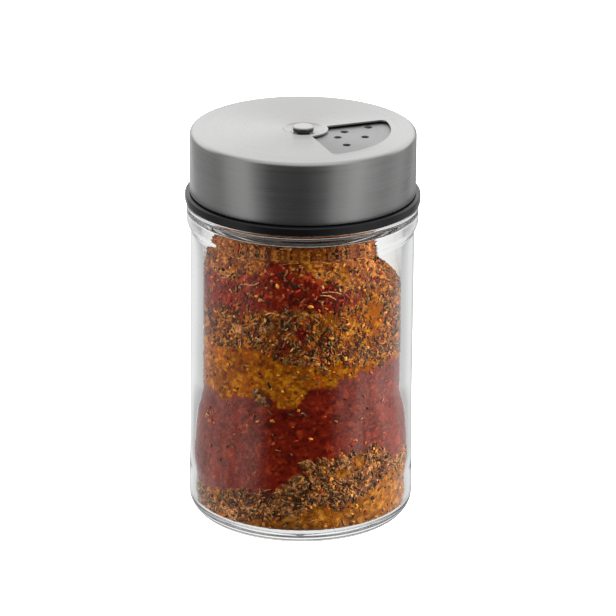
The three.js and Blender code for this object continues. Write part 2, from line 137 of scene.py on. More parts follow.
# Perforated disc. A hole is a share of the window's outer radius and a bearing in degrees
DISC_THICKNESS = 0.4 * MM
DISC_RIM_GAP = 1.15 * MM
FINE_HOLE_RADIUS = 0.85 * MM
COARSE_HOLE_RADIUS = 1.6 * MM
FINE_HOLE_SHARES = ((0.765, 27.5), (0.727, -0.5), (0.692, -30.5), (0.469, 14), (0.443, -13.5))
COARSE_HOLE_SHARES = ((0.74, 116), (0.74, 90), (0.74, 64), (0.46, 90))
POUR_ANGLE = 62
POUR_BEARING = 180
POUR_FILLET = 1.4 * MM
POUR_MARGIN = 0.8 * MM

# Steel selector cap
SHEET = 0.35 * MM
SHELL_GAP = 0.35 * MM
SHELL_CORNER = 1.1 * MM
WINDOW_INNER = 5.2 * MM
WINDOW_RIM = 5.45 * MM
WINDOW_ANGLE = 92
WINDOW_OUTER_FILLET = 1.2 * MM
WINDOW_INNER_FILLET = 0.5 * MM
DIMPLE_FLOOR = 2.4 * MM
DIMPLE_SLOPE = 1.9 * MM
PRESSED_EDGE = 0.05 * MM

# Rivet and washers
RIVET_HEAD_RADIUS = 2.18 * MM
RIVET_HEAD_HEIGHT = 1.05 * MM
RIVET_HEAD_ROUND = 0.4 * MM
RIVET_SHANK_RADIUS = 1.3 * MM
RIVET_HOLE_GAP = 0.3 * MM
SPRING_WASHER_RADIUS = 3.6 * MM
SPRING_WASHER_THICKNESS = 0.3 * MM
SPRING_WAVE = 0.25 * MM
SPRING_WAVES = 3
FLAT_WASHER_RADIUS = 3.2 * MM
FLAT_WASHER_THICKNESS = 0.5 * MM
RIVET_TAIL_RADIUS = 2.1 * MM
RIVET_TAIL_HEIGHT = 0.7 * MM

# How the lid stands, in degrees from +X
WINDOW_BEARING = -24.3
PATTERN_BEARING = -14

# The spice: each stratum's top edge is given by bearings from the front, in degrees towards +X,
# and heights as shares of the filled height
BED_TOP_SHARES = ((-60, 0.01), (-30, 0.02), (-12, 0.04), (-5, 0.07), (10, 0.09), (25, 0.1),
                  (40, 0.11), (50, 0.16), (60, 0.19))
HERB_TOP_SHARES = ((-60, 0.1), (-45, 0.12), (-30, 0.12), (-18, 0.13), (-8, 0.18), (0, 0.23),
                   (8, 0.24), (20, 0.26), (32, 0.28), (45, 0.26), (60, 0.22))
PAPRIKA_TOP_SHARES = ((-60, 0.44), (-45, 0.46), (-30, 0.45), (-20, 0.47), (-12, 0.44),
                      (-4, 0.43), (2, 0.48), (8, 0.51), (20, 0.51), (28, 0.54), (40, 0.55),
                      (50, 0.56), (60, 0.55))
TURMERIC_TOP_SHARES = ((-60, 0.64), (-45, 0.61), (-30, 0.64), (-18, 0.62), (-8, 0.6),
                       (5, 0.59), (12, 0.57), (22, 0.59), (30, 0.56), (40, 0.56), (60, 0.56))
FLECKED_TOP_SHARES = ((-60, 0.73), (-50, 0.76), (-30, 0.76), (-15, 0.77), (0, 0.79),
                      (12, 0.78), (22, 0.77), (32, 0.81), (42, 0.84), (60, 0.84))
CHILLI_TOP_SHARES = ((-60, 0.87), (-45, 0.87), (-30, 0.89), (-18, 0.94), (-5, 0.92),
                     (5, 0.91), (15, 0.86), (25, 0.84), (35, 0.83), (60, 0.84))
STRATUM_TOPS = (BED_TOP_SHARES, HERB_TOP_SHARES, PAPRIKA_TOP_SHARES, TURMERIC_TOP_SHARES,
                FLECKED_TOP_SHARES, CHILLI_TOP_SHARES)
BED, HERBS, PAPRIKA, TURMERIC, FLECKED, CHILLI, MOUND = range(7)

# Waves in the edges between strata, with strengths in millimetres, and how soft the edges are
EDGE_WARPS = ((1.5, 4.2 * MM, 2), (1.1, 1.7 * MM, 3), (0.7, 0.7 * MM, 4))
EDGE_SOFTNESS = 0.35 * MM

# Patches that stand out: bearing, height share, half width in degrees, half height share, stratum
PATCH_SHARES = (
    (44, 0.73, 9, 0.09, TURMERIC), (28, 0.7, 6, 0.05, BED), (16, 0.74, 6, 0.03, BED),
    (25, 0.9, 5, 0.05, BED), (6, 0.94, 6, 0.04, BED), (-23, 0.47, 6, 0.03, HERBS),
    (4, 0.25, 4, 0.02, HERBS), (-50, 0.09, 4, 0.02, BED), (23, 0.21, 4, 0.02, BED),
    (33, 0.23, 4, 0.03, BED), (12, 0.61, 7, 0.03, HERBS), (26, 0.61, 5, 0.02, HERBS),
    (38, 0.61, 7, 0.03, HERBS), (-42, 0.69, 9, 0.04, HERBS), (-20, 0.71, 8, 0.04, HERBS),
    (0, 0.7, 3, 0.04, CHILLI), (-10, 0.67, 5, 0.03, CHILLI), (-58, 0.36, 5, 0.03, CHILLI),
)
PATCH_SOFTNESS = 0.5
PATCH_WARP_SHARE = 0.4

# For each stratum from the bed up: colour of its powder, of its dark clumps and of its light ones, how
# rare these are, and how coarse it is
POWDER_COLOURS = ((0.2, 0.058, 0.003), (0.17, 0.055, 0.015), (0.1, 0.006, 0.0015), (0.205, 0.048, 0.0005),
                  (0.165, 0.034, 0.003), (0.125, 0.008, 0.002), (0.178, 0.043, 0.005))
SHADE_COLOURS = ((0.12, 0.034, 0.003), (0.05, 0.018, 0.006), (0.055, 0.003, 0.001), (0.11, 0.023, 0.001),
                 (0.05, 0.011, 0.003), (0.055, 0.004, 0.0015), (0.08, 0.015, 0.003))
LIGHT_COLOURS = ((0.34, 0.13, 0.014), (0.4, 0.17, 0.055), (0.17, 0.018, 0.004), (0.32, 0.11, 0.003),
                 (0.33, 0.105, 0.008), (0.23, 0.03, 0.007), (0.37, 0.125, 0.018))
SHADE_LEVELS = (0.3, 0.02, 0.2, 0.28, 0.05, 0.15, 0.1)
LIGHT_LEVELS = (0.22, 0.2, 0.36, 0.22, 0.18, 0.38, 0.2)
COARSE_SHARES = (0.4, 1, 0.25, 0.3, 1, 0.6, 0.85)

# Clumps in the powder
CLUMP = 1.1 * MM
SHADE_CLUMPS = ((0.75, CLUMP, 8), (0.45, CLUMP / 2, 9))
LIGHT_CLUMPS = ((0.6, CLUMP, 18), (0.6, CLUMP / 2, 19))
CLUMP_EDGE = 0.3
UNEVENNESS = ((0.25, 3 * CLUMP, 17),)

# Pale dust that clings to the glass, together with painted sheen, both stronger towards the sides away from
# the front, above all on the paprika
DUST_AND_SHEEN_SHARES = (0.02, 0.07, 0.13, 0.005, 0.04, 0.07, 0.09)
DUST_AND_SHEEN_COLOUR = (0.36, 0.22, 0.19)
DUST_AND_SHEEN_START = 14
DUST_AND_SHEEN_FADE = 16
DUST_AND_SHEEN_STREAKS = ((0.5, 1.3 * MM, 10),)
DUST_AND_SHEEN_STREAK_SHARE = 0.12

# Form of the powder: its grain, the side that slipped from the glass, and its crown under the neck
FILL_GAP = 0.06 * MM
FILL_RELIEF = 0.3 * MM
FILL_GRAINS = ((0.25, 0.55 * MM, 5), (0.25, 1.4 * MM, 6))
SLUMP_BEARING = 98
SLUMP_START = 52.6 * MM
SLUMP_SHELF = 1.5 * MM
SLUMP_RISE = 8 * MM
SLUMP_SHELF_REACH = 15.7 * MM
SLUMP_TOP_REACH = 13.2 * MM
SLUMP_SOFTNESS = 0.35 * MM
CROWN_START = 54 * MM
CROWN_DEPTH = 5 * MM

# Unit shapes of loose bits: shares of the length along them, and shares of the half width there
FLAKE_SHARES = ((-0.5, 0), (-0.42, 0.6), (-0.05, 1), (0.3, 0.75), (0.5, 0))
SEED_SHARES = ((-0.5, 0), (-0.4, 0.6), (-0.15, 1), (0.2, 0.95), (0.42, 0.5), (0.5, 0))
FIBRE_SHARES = ((-0.5, 0), (-0.48, 0.8), (-0.25, 1), (0, 1), (0.25, 1), (0.48, 0.8), (0.5, 0))
LUMP_SHARES = ((-0.5, 0), (-0.35, 0.8), (0, 1), (0.32, 0.85), (0.5, 0))

# Kinds of loose bits. Density is the number on a square millimetre of each stratum; length, width and
# thickness are the least and the most
BIT_KINDS = (
    {"name": "herb_flakes", "outline": FLAKE_SHARES, "sides": 6, "seed": 20, "bend": 0.5,
     "density": (0.06, 0.46, 0.012, 0.06, 0.5, 0.1, 0.24),
     "length": (0.6 * MM, 1.9 * MM), "width": (0.35 * MM, 0.9 * MM), "thickness": (0.1 * MM, 0.2 * MM),
     "palette": ((0.035, 0.026, 0.01), (0.06, 0.042, 0.014), (0.022, 0.015, 0.008),
                 (0.09, 0.055, 0.018), (0.014, 0.011, 0.007), (0.05, 0.03, 0.014))},
    {"name": "straw_curls", "outline": FIBRE_SHARES, "sides": 5, "seed": 24, "bend": 0.9,
     "density": (0.03, 0.42, 0.006, 0.03, 0.36, 0.12, 0.22),
     "length": (0.8 * MM, 2.6 * MM), "width": (0.18 * MM, 0.4 * MM), "thickness": (0.12 * MM, 0.25 * MM),
     "palette": ((0.24, 0.11, 0.035), (0.3, 0.15, 0.055), (0.17, 0.07, 0.022), (0.2, 0.09, 0.03))},
    {"name": "dry_chunks", "outline": LUMP_SHARES, "sides": 6, "seed": 25, "bend": 0.4,
     "density": (0.1, 0.7, 0.01, 0.06, 0.6, 0.25, 0.45),
     "length": (0.5 * MM, 1.5 * MM), "width": (0.4 * MM, 1 * MM), "thickness": (0.15 * MM, 0.3 * MM),
     "palette": ((0.12, 0.04, 0.014), (0.2, 0.08, 0.025), (0.08, 0.03, 0.012), (0.28, 0.12, 0.04),
                 (0.1, 0.02, 0.008), (0.16, 0.055, 0.02))},
    {"name": "pale_seeds", "outline": SEED_SHARES, "sides": 6, "seed": 21, "bend": 0.15,
     "density": (0.01, 0.04, 0.004, 0.004, 0.04, 0.02, 0.03),
     "length": (0.5 * MM, 1.5 * MM), "width": (0.25 * MM, 0.5 * MM), "thickness": (0.2 * MM, 0.35 * MM),
     "palette": ((0.42, 0.26, 0.13), (0.34, 0.2, 0.09))},
    {"name": "chilli_bits", "outline": LUMP_SHARES, "sides": 6, "seed": 22, "bend": 0.3,
     "density": (0.02, 0.06, 0.02, 0.02, 0.1, 0.18, 0.12),
     "length": (0.5 * MM, 1.5 * MM), "width": (0.4 * MM, 0.9 * MM), "thickness": (0.15 * MM, 0.3 * MM),
     "palette": ((0.24, 0.022, 0.008), (0.15, 0.012, 0.005), (0.32, 0.06, 0.025))},
    {"name": "turmeric_lumps", "outline": LUMP_SHARES, "sides": 7, "seed": 23, "bend": 0.1,
     "density": (0.14, 0.3, 0.008, 0.14, 0.26, 0.05, 0.24),
     "length": (0.4 * MM, 1.4 * MM), "width": (0.4 * MM, 1.2 * MM), "thickness": (0.25 * MM, 0.4 * MM),
     "palette": ((0.36, 0.12, 0.012), (0.3, 0.09, 0.008), (0.44, 0.18, 0.03))},
)
BIT_FLOOR_GAP = 0.5 * MM
BIT_DEPTH_LEAST = 0.02 * MM
BIT_UNEVENNESS = 0.35
BIT_BOW_SHARE = 0.5
BIT_TILT = 0.5
BIT_SHADES = (0.65, 1.35)

# Single bits that stand out: bearing, height share, length, width, slope in degrees, bend, colour
PALE, TAN, YELLOW, GREEN, RED = range(5)
SINGLE_COLOURS = ((0.42, 0.3, 0.17), (0.34, 0.19, 0.08), (0.5, 0.26, 0.03), (0.16, 0.14, 0.08),
                  (0.32, 0.03, 0.01))
SINGLE_BITS = (
    (19, 0.844, 5.6 * MM, 0.34 * MM, -16, -0.5, TAN), (15, 0.833, 3.6 * MM, 0.3 * MM, -20, -0.4, TAN),
    (5, 0.832, 1.6 * MM, 0.8 * MM, 25, 0.1, PALE), (-29, 0.857, 3.4 * MM, 0.34 * MM, 12, 0.6, TAN),
    (-47, 0.861, 4 * MM, 0.36 * MM, 24, 0.7, TAN), (-24, 0.674, 1.7 * MM, 0.3 * MM, -28, 0.1, PALE),
    (-23, 0.469, 3.2 * MM, 0.26 * MM, -42, 0.05, GREEN), (-21, 0.465, 2.6 * MM, 0.24 * MM, -50, 0.05, GREEN),
    (-25, 0.824, 1.3 * MM, 0.7 * MM, 5, 0.1, YELLOW), (4, 0.211, 1.2 * MM, 0.8 * MM, -10, 0.1, RED),
    (22, 0.814, 1.4 * MM, 0.7 * MM, 10, 0.1, RED), (-2, 0.852, 1.2 * MM, 0.6 * MM, 30, 0.2, RED),
)
SINGLE_SIDES = 6
SINGLE_SINK_SHARE = 0.6

# Noise in the materials: scales are cells a metre
FINE_DETAIL = 3.0
SOFT_DETAIL = 2.0
NOISE_ROUGHNESS = 0.5

# Brushed steels: dark and light colour, roughness, width of a brush line and strength of the brushing
DISC_STEEL = {"name": "disc_brushed", "colours": ((0.44, 0.44, 0.44), (0.56, 0.56, 0.56)),
              "roughness": (0.4, 0.5), "line": 0.16 * MM, "strength": 0.5}
CAP_STEEL = {"name": "cap_brushed", "colours": ((0.6, 0.595, 0.59), (0.7, 0.695, 0.69)),
             "roughness": (0.26, 0.34), "line": 0.14 * MM, "strength": 0.4}
SPRING_STEEL = {"name": "spring_rolled", "colours": ((0.4, 0.4, 0.41), (0.5, 0.5, 0.51)),
                "roughness": (0.3, 0.4), "line": 0.3 * MM, "strength": 0.3}
BRUSH_DEPTH = 0.02 * MM
BRUSH_STROKES = 2.0
BRUSH_ROUGHNESS = 0.65
BRUSH_SPREAD = (0.3, 0.7)
FINE_SHARE = 0.6
BROAD_SHARE = 0.4
BROAD_SCALE = 0.22
BLOTCH_SCALE = 120.0
BLOTCH_SWING = (-0.02, 0.02)
BRUSH_ANISOTROPY = 0.75
BRUSH_DIRECTION = 0.25

# Polished rivet with a painted reflection on its side: its colour turns from dark to bright between two
# depths, as shares of its edge rounding
RIVET_SHADE_SHARES = (1.2, 1 / 3)
RIVET_PAINTED_REFLECTION_COLOURS = ((0.1, 0.1, 0.1), (0.72, 0.71, 0.69))
RIVET_ROUGHNESS = (0.25, 0.4)

# Clear glass
GLASS_COLOUR = (0.985, 0.996, 0.99, 1)
GLASS_SPECULAR_TINT = (0.12, 0.12, 0.12, 1)
GLASS_INDEX = 1.5
RIPPLE_SCALE = 90.0
RIPPLE_DETAIL = 1.0
RIPPLE_DEPTH = 0.05 * MM
RIPPLE_STRENGTH = 0.15
SMEAR_SCALE = 260.0
SMEAR_SPREAD = (0.45, 0.8)
GLASS_ROUGHNESS = (0.0, 0.03)

# Powder surface. Spreads are how much grains differ in shade, in fine and in coarse powder; painted shade
# darkens each grain from its middle to its edge, in the crevices between grains
GRAIN = 0.36 * MM
GRAIN_SPREADS = (0.35, 0.75)
PAINTED_CREVICE_SHADES = (1.1, 0.6)
GRAIN_EDGES = (0.25, 0.85)
VEIN_SCALE = 0.5 / GRAIN
VEIN_DISTORTION = 2.5
VEIN_SHADES = (0.45, 1.1)
VEIN_EDGES = (0.36, 0.5)
DUSTING_SCALE = 1.4 / GRAIN
DUSTING_SHARE = 0.5
POWDER_DEPTH = 0.6 * GRAIN
POWDER_STRENGTH = 0.8
POWDER_ROUGHNESS = 0.85
POWDER_SPECULAR = 0.1

# Surface of the loose bits
BIT_GRAIN = 0.25 * MM
BIT_GRAIN_SHADES = (0.5, 1.5)
BIT_GRAIN_EDGES = (0.25, 0.75)
BIT_DEPTH = 0.06 * MM
BIT_STRENGTH = 0.5
BIT_ROUGHNESS = 0.7
BIT_SPECULAR = 0.3

# Black plastic and white rubber
PLASTIC_GRAIN = 0.12 * MM
PLASTIC_CLOUD_SCALE = 180.0
PLASTIC_COLOURS = ((0.003, 0.003, 0.0035), (0.006, 0.006, 0.007))
PLASTIC_ROUGHNESS = (0.1, 0.2)
PLASTIC_DEPTH = 0.02 * MM
PLASTIC_STRENGTH = 0.12
RUBBER_GRAIN = 0.2 * MM
RUBBER_CLOUD_SCALE = 300.0
RUBBER_COLOURS = ((0.72, 0.7, 0.65), (0.82, 0.81, 0.77))
RUBBER_ROUGHNESS = (0.55, 0.75)
RUBBER_DEPTH = 0.03 * MM
RUBBER_STRENGTH = 0.2

# Studio: light level all round, by bearing from the front in degrees towards +X, first as surfaces
# mirror it and then as it shows through the glass
STUDIO_LEVELS = ((-180, 1.0), (-168, 0.64), (-156, 0.56), (-144, 0.3), (-120, 0.24), (-96, 0.2),
                 (-78, 0.36), (-62, 0.4), (-44, 0.15), (-34, 0.06), (0, 0.045), (20, 0.09),
                 (38, 0.3), (58, 0.45), (76, 0.33), (92, 0.26), (120, 0.34), (136, 0.22),
                 (152, 0.4), (168, 0.26), (180, 1.0))
THROUGH_LEVELS = ((-180, 1), (-166, 0.95), (-158, 0.88), (-153, 0.74), (-147, 0.6), (-140, 0.52),
                  (-132, 0.42), (-110, 0.35), (-80, 0.2), (-50, 0.1), (0, 0.05), (50, 0.1),
                  (80, 0.2), (110, 0.35), (130, 0.46), (140, 0.55), (147, 0.66), (153, 0.78),
                  (158, 0.88), (166, 0.95), (180, 1))
BACKDROP_LEVEL = 1.0
BACKDROP_EDGE = (0.1, 0.6)
BACKDROP_FOOT = (0.0, 0.25)
CEILING_LEVEL = 0.7
CEILING_EDGE = (0.6, 0.97)
SKY_LEVEL = 0.9
SKY_EDGE = (0.4, 0.8)
TABLE_LEVEL = 0.85
TABLE_EDGE = (-0.55, -0.3)
BACK_LEVEL = 1.05

# Floor, its reach in radii of the jar
FLOOR_REACH_SHARE = 240
FLOOR_COLOUR = (0.9, 0.9, 0.9, 1)
FLOOR_ROUGHNESS = 0.9
WHITE = (1, 1, 1, 1)

# Soft lights that brighten matt surfaces; the steel and the glass mirror only the studio round them.
# Each has a name, bearing, elevation, power and size
LIGHTS = (("left", -80, 25, 36.0, 0.8), ("right", 80, 25, 56.0, 0.8), ("top", 150, 65, 10.0, 0.9))
LIGHT_DISTANCE = 1.4
LIGHT_BOUNCES = 24

# Camera at the photograph's viewing angle
IMAGE_PIXELS = 616
FOCAL_PIXELS = 4388.4
VIEW_ELEVATION = 20.04
VIEW_ROLL = 0.49
VIEW_DISTANCE = 929.34 * MM
VIEW_TARGET = (1.301 * MM, 0, 45.156 * MM)

# Heights and radii worked out from the frame and the sizes above
jar_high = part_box("glass_jar")[1]
jar_height = jar_high.z
bead_radius = jar_high.x
body_radius = bead_radius - BEAD_SWELL
heel_radius = body_radius + HEEL_SWELL
neck_radius = body_radius - SHOULDER_STEP
neck_bore = neck_radius - NECK_WALL
upper_inner = body_radius - WALL_THICKNESS
lower_inner = heel_radius - LOWER_WALL_THICKNESS
shoulder_top = jar_height - NECK_HEIGHT
bead_bottom = shoulder_top - BEAD_HEIGHT
inner_shoulder_start = shoulder_top - INNER_SHOULDER_DEPTH
jar_thread_turns = (NECK_HEIGHT - THREAD_LIFT - THREAD_TOP_ROOM) / THREAD_PITCH
cap_thread_width = THREAD_PITCH - JAR_THREAD_WIDTH - 2 * THREAD_SIDE_GAP
cap_bore = neck_radius + THREAD_DEPTH + THREAD_GAP
cap_wall_radius = cap_bore + CAP_WALL
shell_inner = cap_wall_radius + SHELL_GAP
shell_radius = shell_inner + SHEET
flange_radius = shell_radius + FLANGE_LIP
disc_radius = cap_wall_radius - DISC_RIM_GAP
window_outer = shell_radius - WINDOW_RIM
rivet_hole = RIVET_SHANK_RADIUS + RIVET_HOLE_GAP
port_inner = WINDOW_INNER + PORT_MARGIN
port_outer = neck_bore - PORT_MARGIN
dimple_rim = DIMPLE_FLOOR + DIMPLE_SLOPE
lid_base = shoulder_top + SEAT_GAP
seal_bottom = jar_height + SEAT_GAP
seal_top = seal_bottom + SEAL_THICKNESS
plate_bottom = seal_top + SEAT_GAP
plate_top = plate_bottom + CAP_PLATE
disc_bottom = plate_top + SEAT_GAP
disc_top = disc_bottom + DISC_THICKNESS
shell_underside = disc_top + RUN_GAP
shell_top = shell_underside + SHEET
shell_bottom = lid_base + FLANGE_HEIGHT + RUN_GAP
dimple_depth = shell_underside - plate_top - RUN_GAP
rivet_head_top = shell_top - dimple_depth + SEAT_GAP + RIVET_HEAD_HEIGHT
spring_top = plate_bottom - SEAT_GAP
flat_top = spring_top - 2 * SPRING_WAVE - SPRING_WASHER_THICKNESS - SEAT_GAP
tail_top = flat_top - FLAT_WASHER_THICKNESS - SEAT_GAP
fill_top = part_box("spice_mound")[1].z
fill_depth = fill_top - BASE_THICKNESS
bit_floor = BASE_THICKNESS + BIT_FLOOR_GAP


# Seeded smooth noise in space, from -1 to 1
def lattice_noise(places, cell, seed):
    table = np.random.default_rng(SEED + seed).random((LATTICE, LATTICE, LATTICE))
    scaled = np.asarray(places) / cell
    base = np.floor(scaled).astype(int)
    part = smooth_step(scaled - base)
    total = np.zeros(len(scaled))
    for corner in np.ndindex(2, 2, 2):
        index = (base + corner) % LATTICE
        weight = np.prod(np.where(np.array(corner) == 1, part, 1 - part), axis=1)
        total += weight * table[index[:, 0], index[:, 1], index[:, 2]]
    return 2 * total - 1


def layered_noise(places, layers):
    return sum(strength * lattice_noise(places, cell, seed) for strength, cell, seed in layers)


def smooth_step(value):
    share = np.clip(value, 0, 1)
    return share * share * (3 - 2 * share)


def polar(reach, bearing):
    angle = math.radians(bearing)
    return reach * math.cos(angle), reach * math.sin(angle)


# Points of an arc, its angles in degrees
def arc(centre, radius, start, end, steps):
    points = []
    for step in range(steps + 1):
        across, up = polar(radius, start + (end - start) * step / steps)
        points.append((centre[0] + across, centre[1] + up))
    return points


# Profile helpers: an arc and an easy S-shaped blend, both without their first point
def arc_to(centre_radius, centre_height, radius, start, end, steps=ARC_STEPS):
    return arc((centre_radius, centre_height), radius, start, end, steps)[1:]


def blend_to(start_radius, start_height, end_radius, end_height, steps=BLEND_STEPS):
    points = []
    for step in range(1, steps + 1):
        along = step / steps
        eased = (1 - math.cos(math.pi * along)) / 2
        points.append((start_radius + (end_radius - start_radius) * eased,
                       start_height + (end_height - start_height) * along))
    return points


# Adds points on the straight runs of a profile, so that no step is longer than the limit
def refined(profile, limit):
    points = [profile[0]]
    for here in profile[1:]:
        before = points[-1]
        count = max(1, math.ceil(math.dist(before, here) / limit))
        for step in range(1, count + 1):
            share = step / count
            points.append((before[0] + (here[0] - before[0]) * share,
                           before[1] + (here[1] - before[1]) * share))
    return points


# Meshes
def mesh_object(name, vertices, faces):
    mesh = bpy.data.meshes.new(name)
    mesh.from_pydata([tuple(vertex) for vertex in vertices], [], faces)
    piece = bpy.data.objects.new(name, mesh)
    bpy.context.scene.collection.objects.link(piece)
    return piece


def clean(piece):
    work = bmesh.new()
    work.from_mesh(piece.data)
    bmesh.ops.remove_doubles(work, verts=work.verts, dist=MERGE_DISTANCE)
    bmesh.ops.recalc_face_normals(work, faces=work.faces)
    work.to_mesh(piece.data)
    work.free()
    return piece


# A turned mesh; where a shape is given it returns the radius at each angle, radius and height
def turned(name, profile, columns=COLUMNS, closed=True, shape=None):
    radii, heights = np.array(profile).T
    rows = len(radii)
    angle = np.tile(np.arange(columns) * TURN / columns, rows)
    radius = np.repeat(radii, columns)
    height = np.repeat(heights, columns)
    if shape:
        radius = shape(angle, radius, height)
    vertices = np.stack([radius * np.cos(angle), radius * np.sin(angle), height], 1)
    faces = []
    last = rows if closed else rows - 1
    for row in range(last):
        here = row * columns
        above = ((row + 1) % rows) * columns
        for column in range(columns):
            after = (column + 1) % columns
            faces.append((here + column, here + after, above + after, above + column))
    return clean(mesh_object(name, vertices, faces))


def rounded_ring(name, inner, outer, bottom, top, rounding):
    corners = ((outer - rounding, bottom + rounding, -90), (outer - rounding, top - rounding, 0),
               (inner + rounding, top - rounding, 90), (inner + rounding, bottom + rounding, 180))
    profile = []
    for radius, height, start in corners:
        profile += arc((radius, height), rounding, start, start + 90, ARC_STEPS)
    return turned(name, profile)


# An upright prism of a flat outline
def prism(name, outline, bottom, top):
    count = len(outline)
    vertices = [(x, y, bottom) for x, y in outline] + [(x, y, top) for x, y in outline]
    faces = [tuple(reversed(range(count))), tuple(range(count, 2 * count))]
    for side in range(count):
        after = (side + 1) % count
        faces.append((side, after, count + after, count + side))
    return clean(mesh_object(name, vertices, faces))


# Outline of a sector of a ring, centred on +X, with rounded corners
def sector(inner, outer, full_angle, inner_fillet, outer_fillet):
    half = full_angle / 2
    outer_reach = outer - outer_fillet
    inner_reach = inner + inner_fillet
    outer_edge = half - math.degrees(math.asin(outer_fillet / outer_reach))
    inner_edge = half - math.degrees(math.asin(inner_fillet / inner_reach))
    outline = arc((0, 0), outer, -outer_edge, outer_edge, SECTOR_STEPS)
    outline += arc(polar(outer_reach, outer_edge), outer_fillet, outer_edge, half + 90, ARC_STEPS)
    outline += arc(polar(inner_reach, inner_edge), inner_fillet, half + 90, inner_edge + 180, ARC_STEPS)
    outline += arc((0, 0), inner, inner_edge, -inner_edge, SECTOR_STEPS // 2)
    outline += arc(polar(inner_reach, -inner_edge), inner_fillet, 180 - inner_edge, 270 - half, ARC_STEPS)
    outline += arc(polar(outer_reach, -outer_edge), outer_fillet, -half - 90, -outer_edge, ARC_STEPS)
    return outline


def turned_outline(outline, bearing):
    cosine, sine = polar(1, bearing)
    return [(x * cosine - y * sine, x * sine + y * cosine) for x, y in outline]


def settle_modifiers(piece):
    shaped = piece.evaluated_get(bpy.context.evaluated_depsgraph_get())
    mesh = bpy.data.meshes.new_from_object(shaped)
    piece.modifiers.clear()
    piece.data = mesh


# Takes each tool out of the piece, or adds it to the piece, and deletes the tools
def combine(piece, tools, operation="DIFFERENCE"):
    for tool in tools:
        modifier = piece.modifiers.new("cut", "BOOLEAN")
        modifier.operation = operation
        modifier.solver = "EXACT"
        modifier.object = tool
    settle_modifiers(piece)
    for tool in tools:
        bpy.data.objects.remove(tool)


def finish_pressed(piece):
    modifier = piece.modifiers.new("edge", "BEVEL")
    modifier.width = PRESSED_EDGE
    modifier.segments = PRESSED_SEGMENTS
    modifier.limit_method = "ANGLE"
    modifier.angle_limit = math.radians(PRESSED_ANGLE)
    settle_modifiers(piece)
    smooth(piece)


def smooth(piece):
    piece.data.shade_smooth()
    piece.data.set_sharp_from_angle(angle=math.radians(SHARP_ANGLE))


def place(piece, body, material, nodes=(), bearing=0):
    piece.data.transform(Matrix.Rotation(math.radians(bearing), 4, "Z"))
    piece.data.materials.clear()
    piece.data.materials.append(material)
    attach(piece, body)
    if nodes:
        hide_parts(*nodes)


# Screw ridge: how far it stands out from its wall at each angle and height
def ridge(angle, height, start, turns, root_width):
    crest = root_width * THREAD_CREST_SHARE
    stands = np.zeros_like(height)
    for lap in range(math.ceil(turns) + 1):
        travelled = angle / TURN + lap
        near_end = np.minimum(travelled, turns - travelled) / (turns * THREAD_RUN_OUT_SHARE)
        rise = np.sin(np.clip(near_end, 0, 1) * math.pi / 2)
        offset = np.abs(height - start - THREAD_PITCH * travelled)
        flank = smooth_step((root_width / 2 - offset) / ((root_width - crest) / 2))
        stands = np.maximum(stands, THREAD_DEPTH * rise * flank)
    return stands


# The jar. Its inner wall starts with the two points of the floor
def inner_wall(clearance=0):
    floor = BASE_THICKNESS + clearance
    lower = lower_inner - clearance
    upper = upper_inner - clearance
    points = [(0, floor), (lower - INNER_HEEL_ROUND, floor)]
    points += arc_to(lower - INNER_HEEL_ROUND, floor + INNER_HEEL_ROUND, INNER_HEEL_ROUND, -90, 0)
    points += [(lower, LOWER_WALL_TOP), (upper, LOWER_WALL_TOP + WALL_TAPER)]
    return points + [(upper, inner_shoulder_start - clearance)]


# Radius of the jar's inside at each height of the wall
def wall_radius(height):
    radii, heights = np.array(inner_wall()[2:]).T
    return np.interp(height, heights, radii)


def inner_shoulder():
    turn = 90 - INNER_SHOULDER_SLOPE
    points = arc_to(upper_inner - INNER_SHOULDER_ROUND, inner_shoulder_start, INNER_SHOULDER_ROUND, 0, turn)
    cone_end = neck_bore + BORE_ROUND * (1 - math.cos(math.radians(turn)))
    cone_top = points[-1][1] + (points[-1][0] - cone_end) * math.tan(math.radians(INNER_SHOULDER_SLOPE))
    round_height = cone_top + BORE_ROUND * math.sin(math.radians(turn))
    points += [(cone_end, cone_top)]
    return points + arc_to(neck_bore + BORE_ROUND, round_height, BORE_ROUND, 180 + turn, 180)


def outer_profile():
    stand_outer = heel_radius - HEEL_ROUND
    stand_inner = stand_outer - STANDING_WIDTH
    points = [(0, PUSH_UP)] + blend_to(0, PUSH_UP, stand_inner, 0)
    points += [(stand_outer, 0)]
    points += arc_to(stand_outer, HEEL_ROUND, HEEL_ROUND, -90, 0, ARC_STEPS * 2)
    points += [(heel_radius, HEEL_BAND_TOP)]
    points += blend_to(heel_radius, HEEL_BAND_TOP, body_radius, HEEL_BAND_TOP + HEEL_FADE)
    points += [(body_radius, bead_bottom - BEAD_BLEND)]
    points += blend_to(body_radius, bead_bottom - BEAD_BLEND, bead_radius, bead_bottom)
    points += [(bead_radius, shoulder_top - SHOULDER_ROUND)]
    points += arc_to(bead_radius - SHOULDER_ROUND, shoulder_top - SHOULDER_ROUND, SHOULDER_ROUND, 0, 90)
    points += [(neck_radius + NECK_FILLET, shoulder_top)]
    points += arc_to(neck_radius + NECK_FILLET, shoulder_top + NECK_FILLET, NECK_FILLET, -90, -180)
    points += [(neck_radius, jar_height - RIM_ROUND)]
    points += arc_to(neck_radius - RIM_ROUND, jar_height - RIM_ROUND, RIM_ROUND, 0, 90)
    points += [(neck_bore + RIM_ROUND, jar_height)]
    return points + arc_to(neck_bore + RIM_ROUND, jar_height - RIM_ROUND, RIM_ROUND, 90, 180)


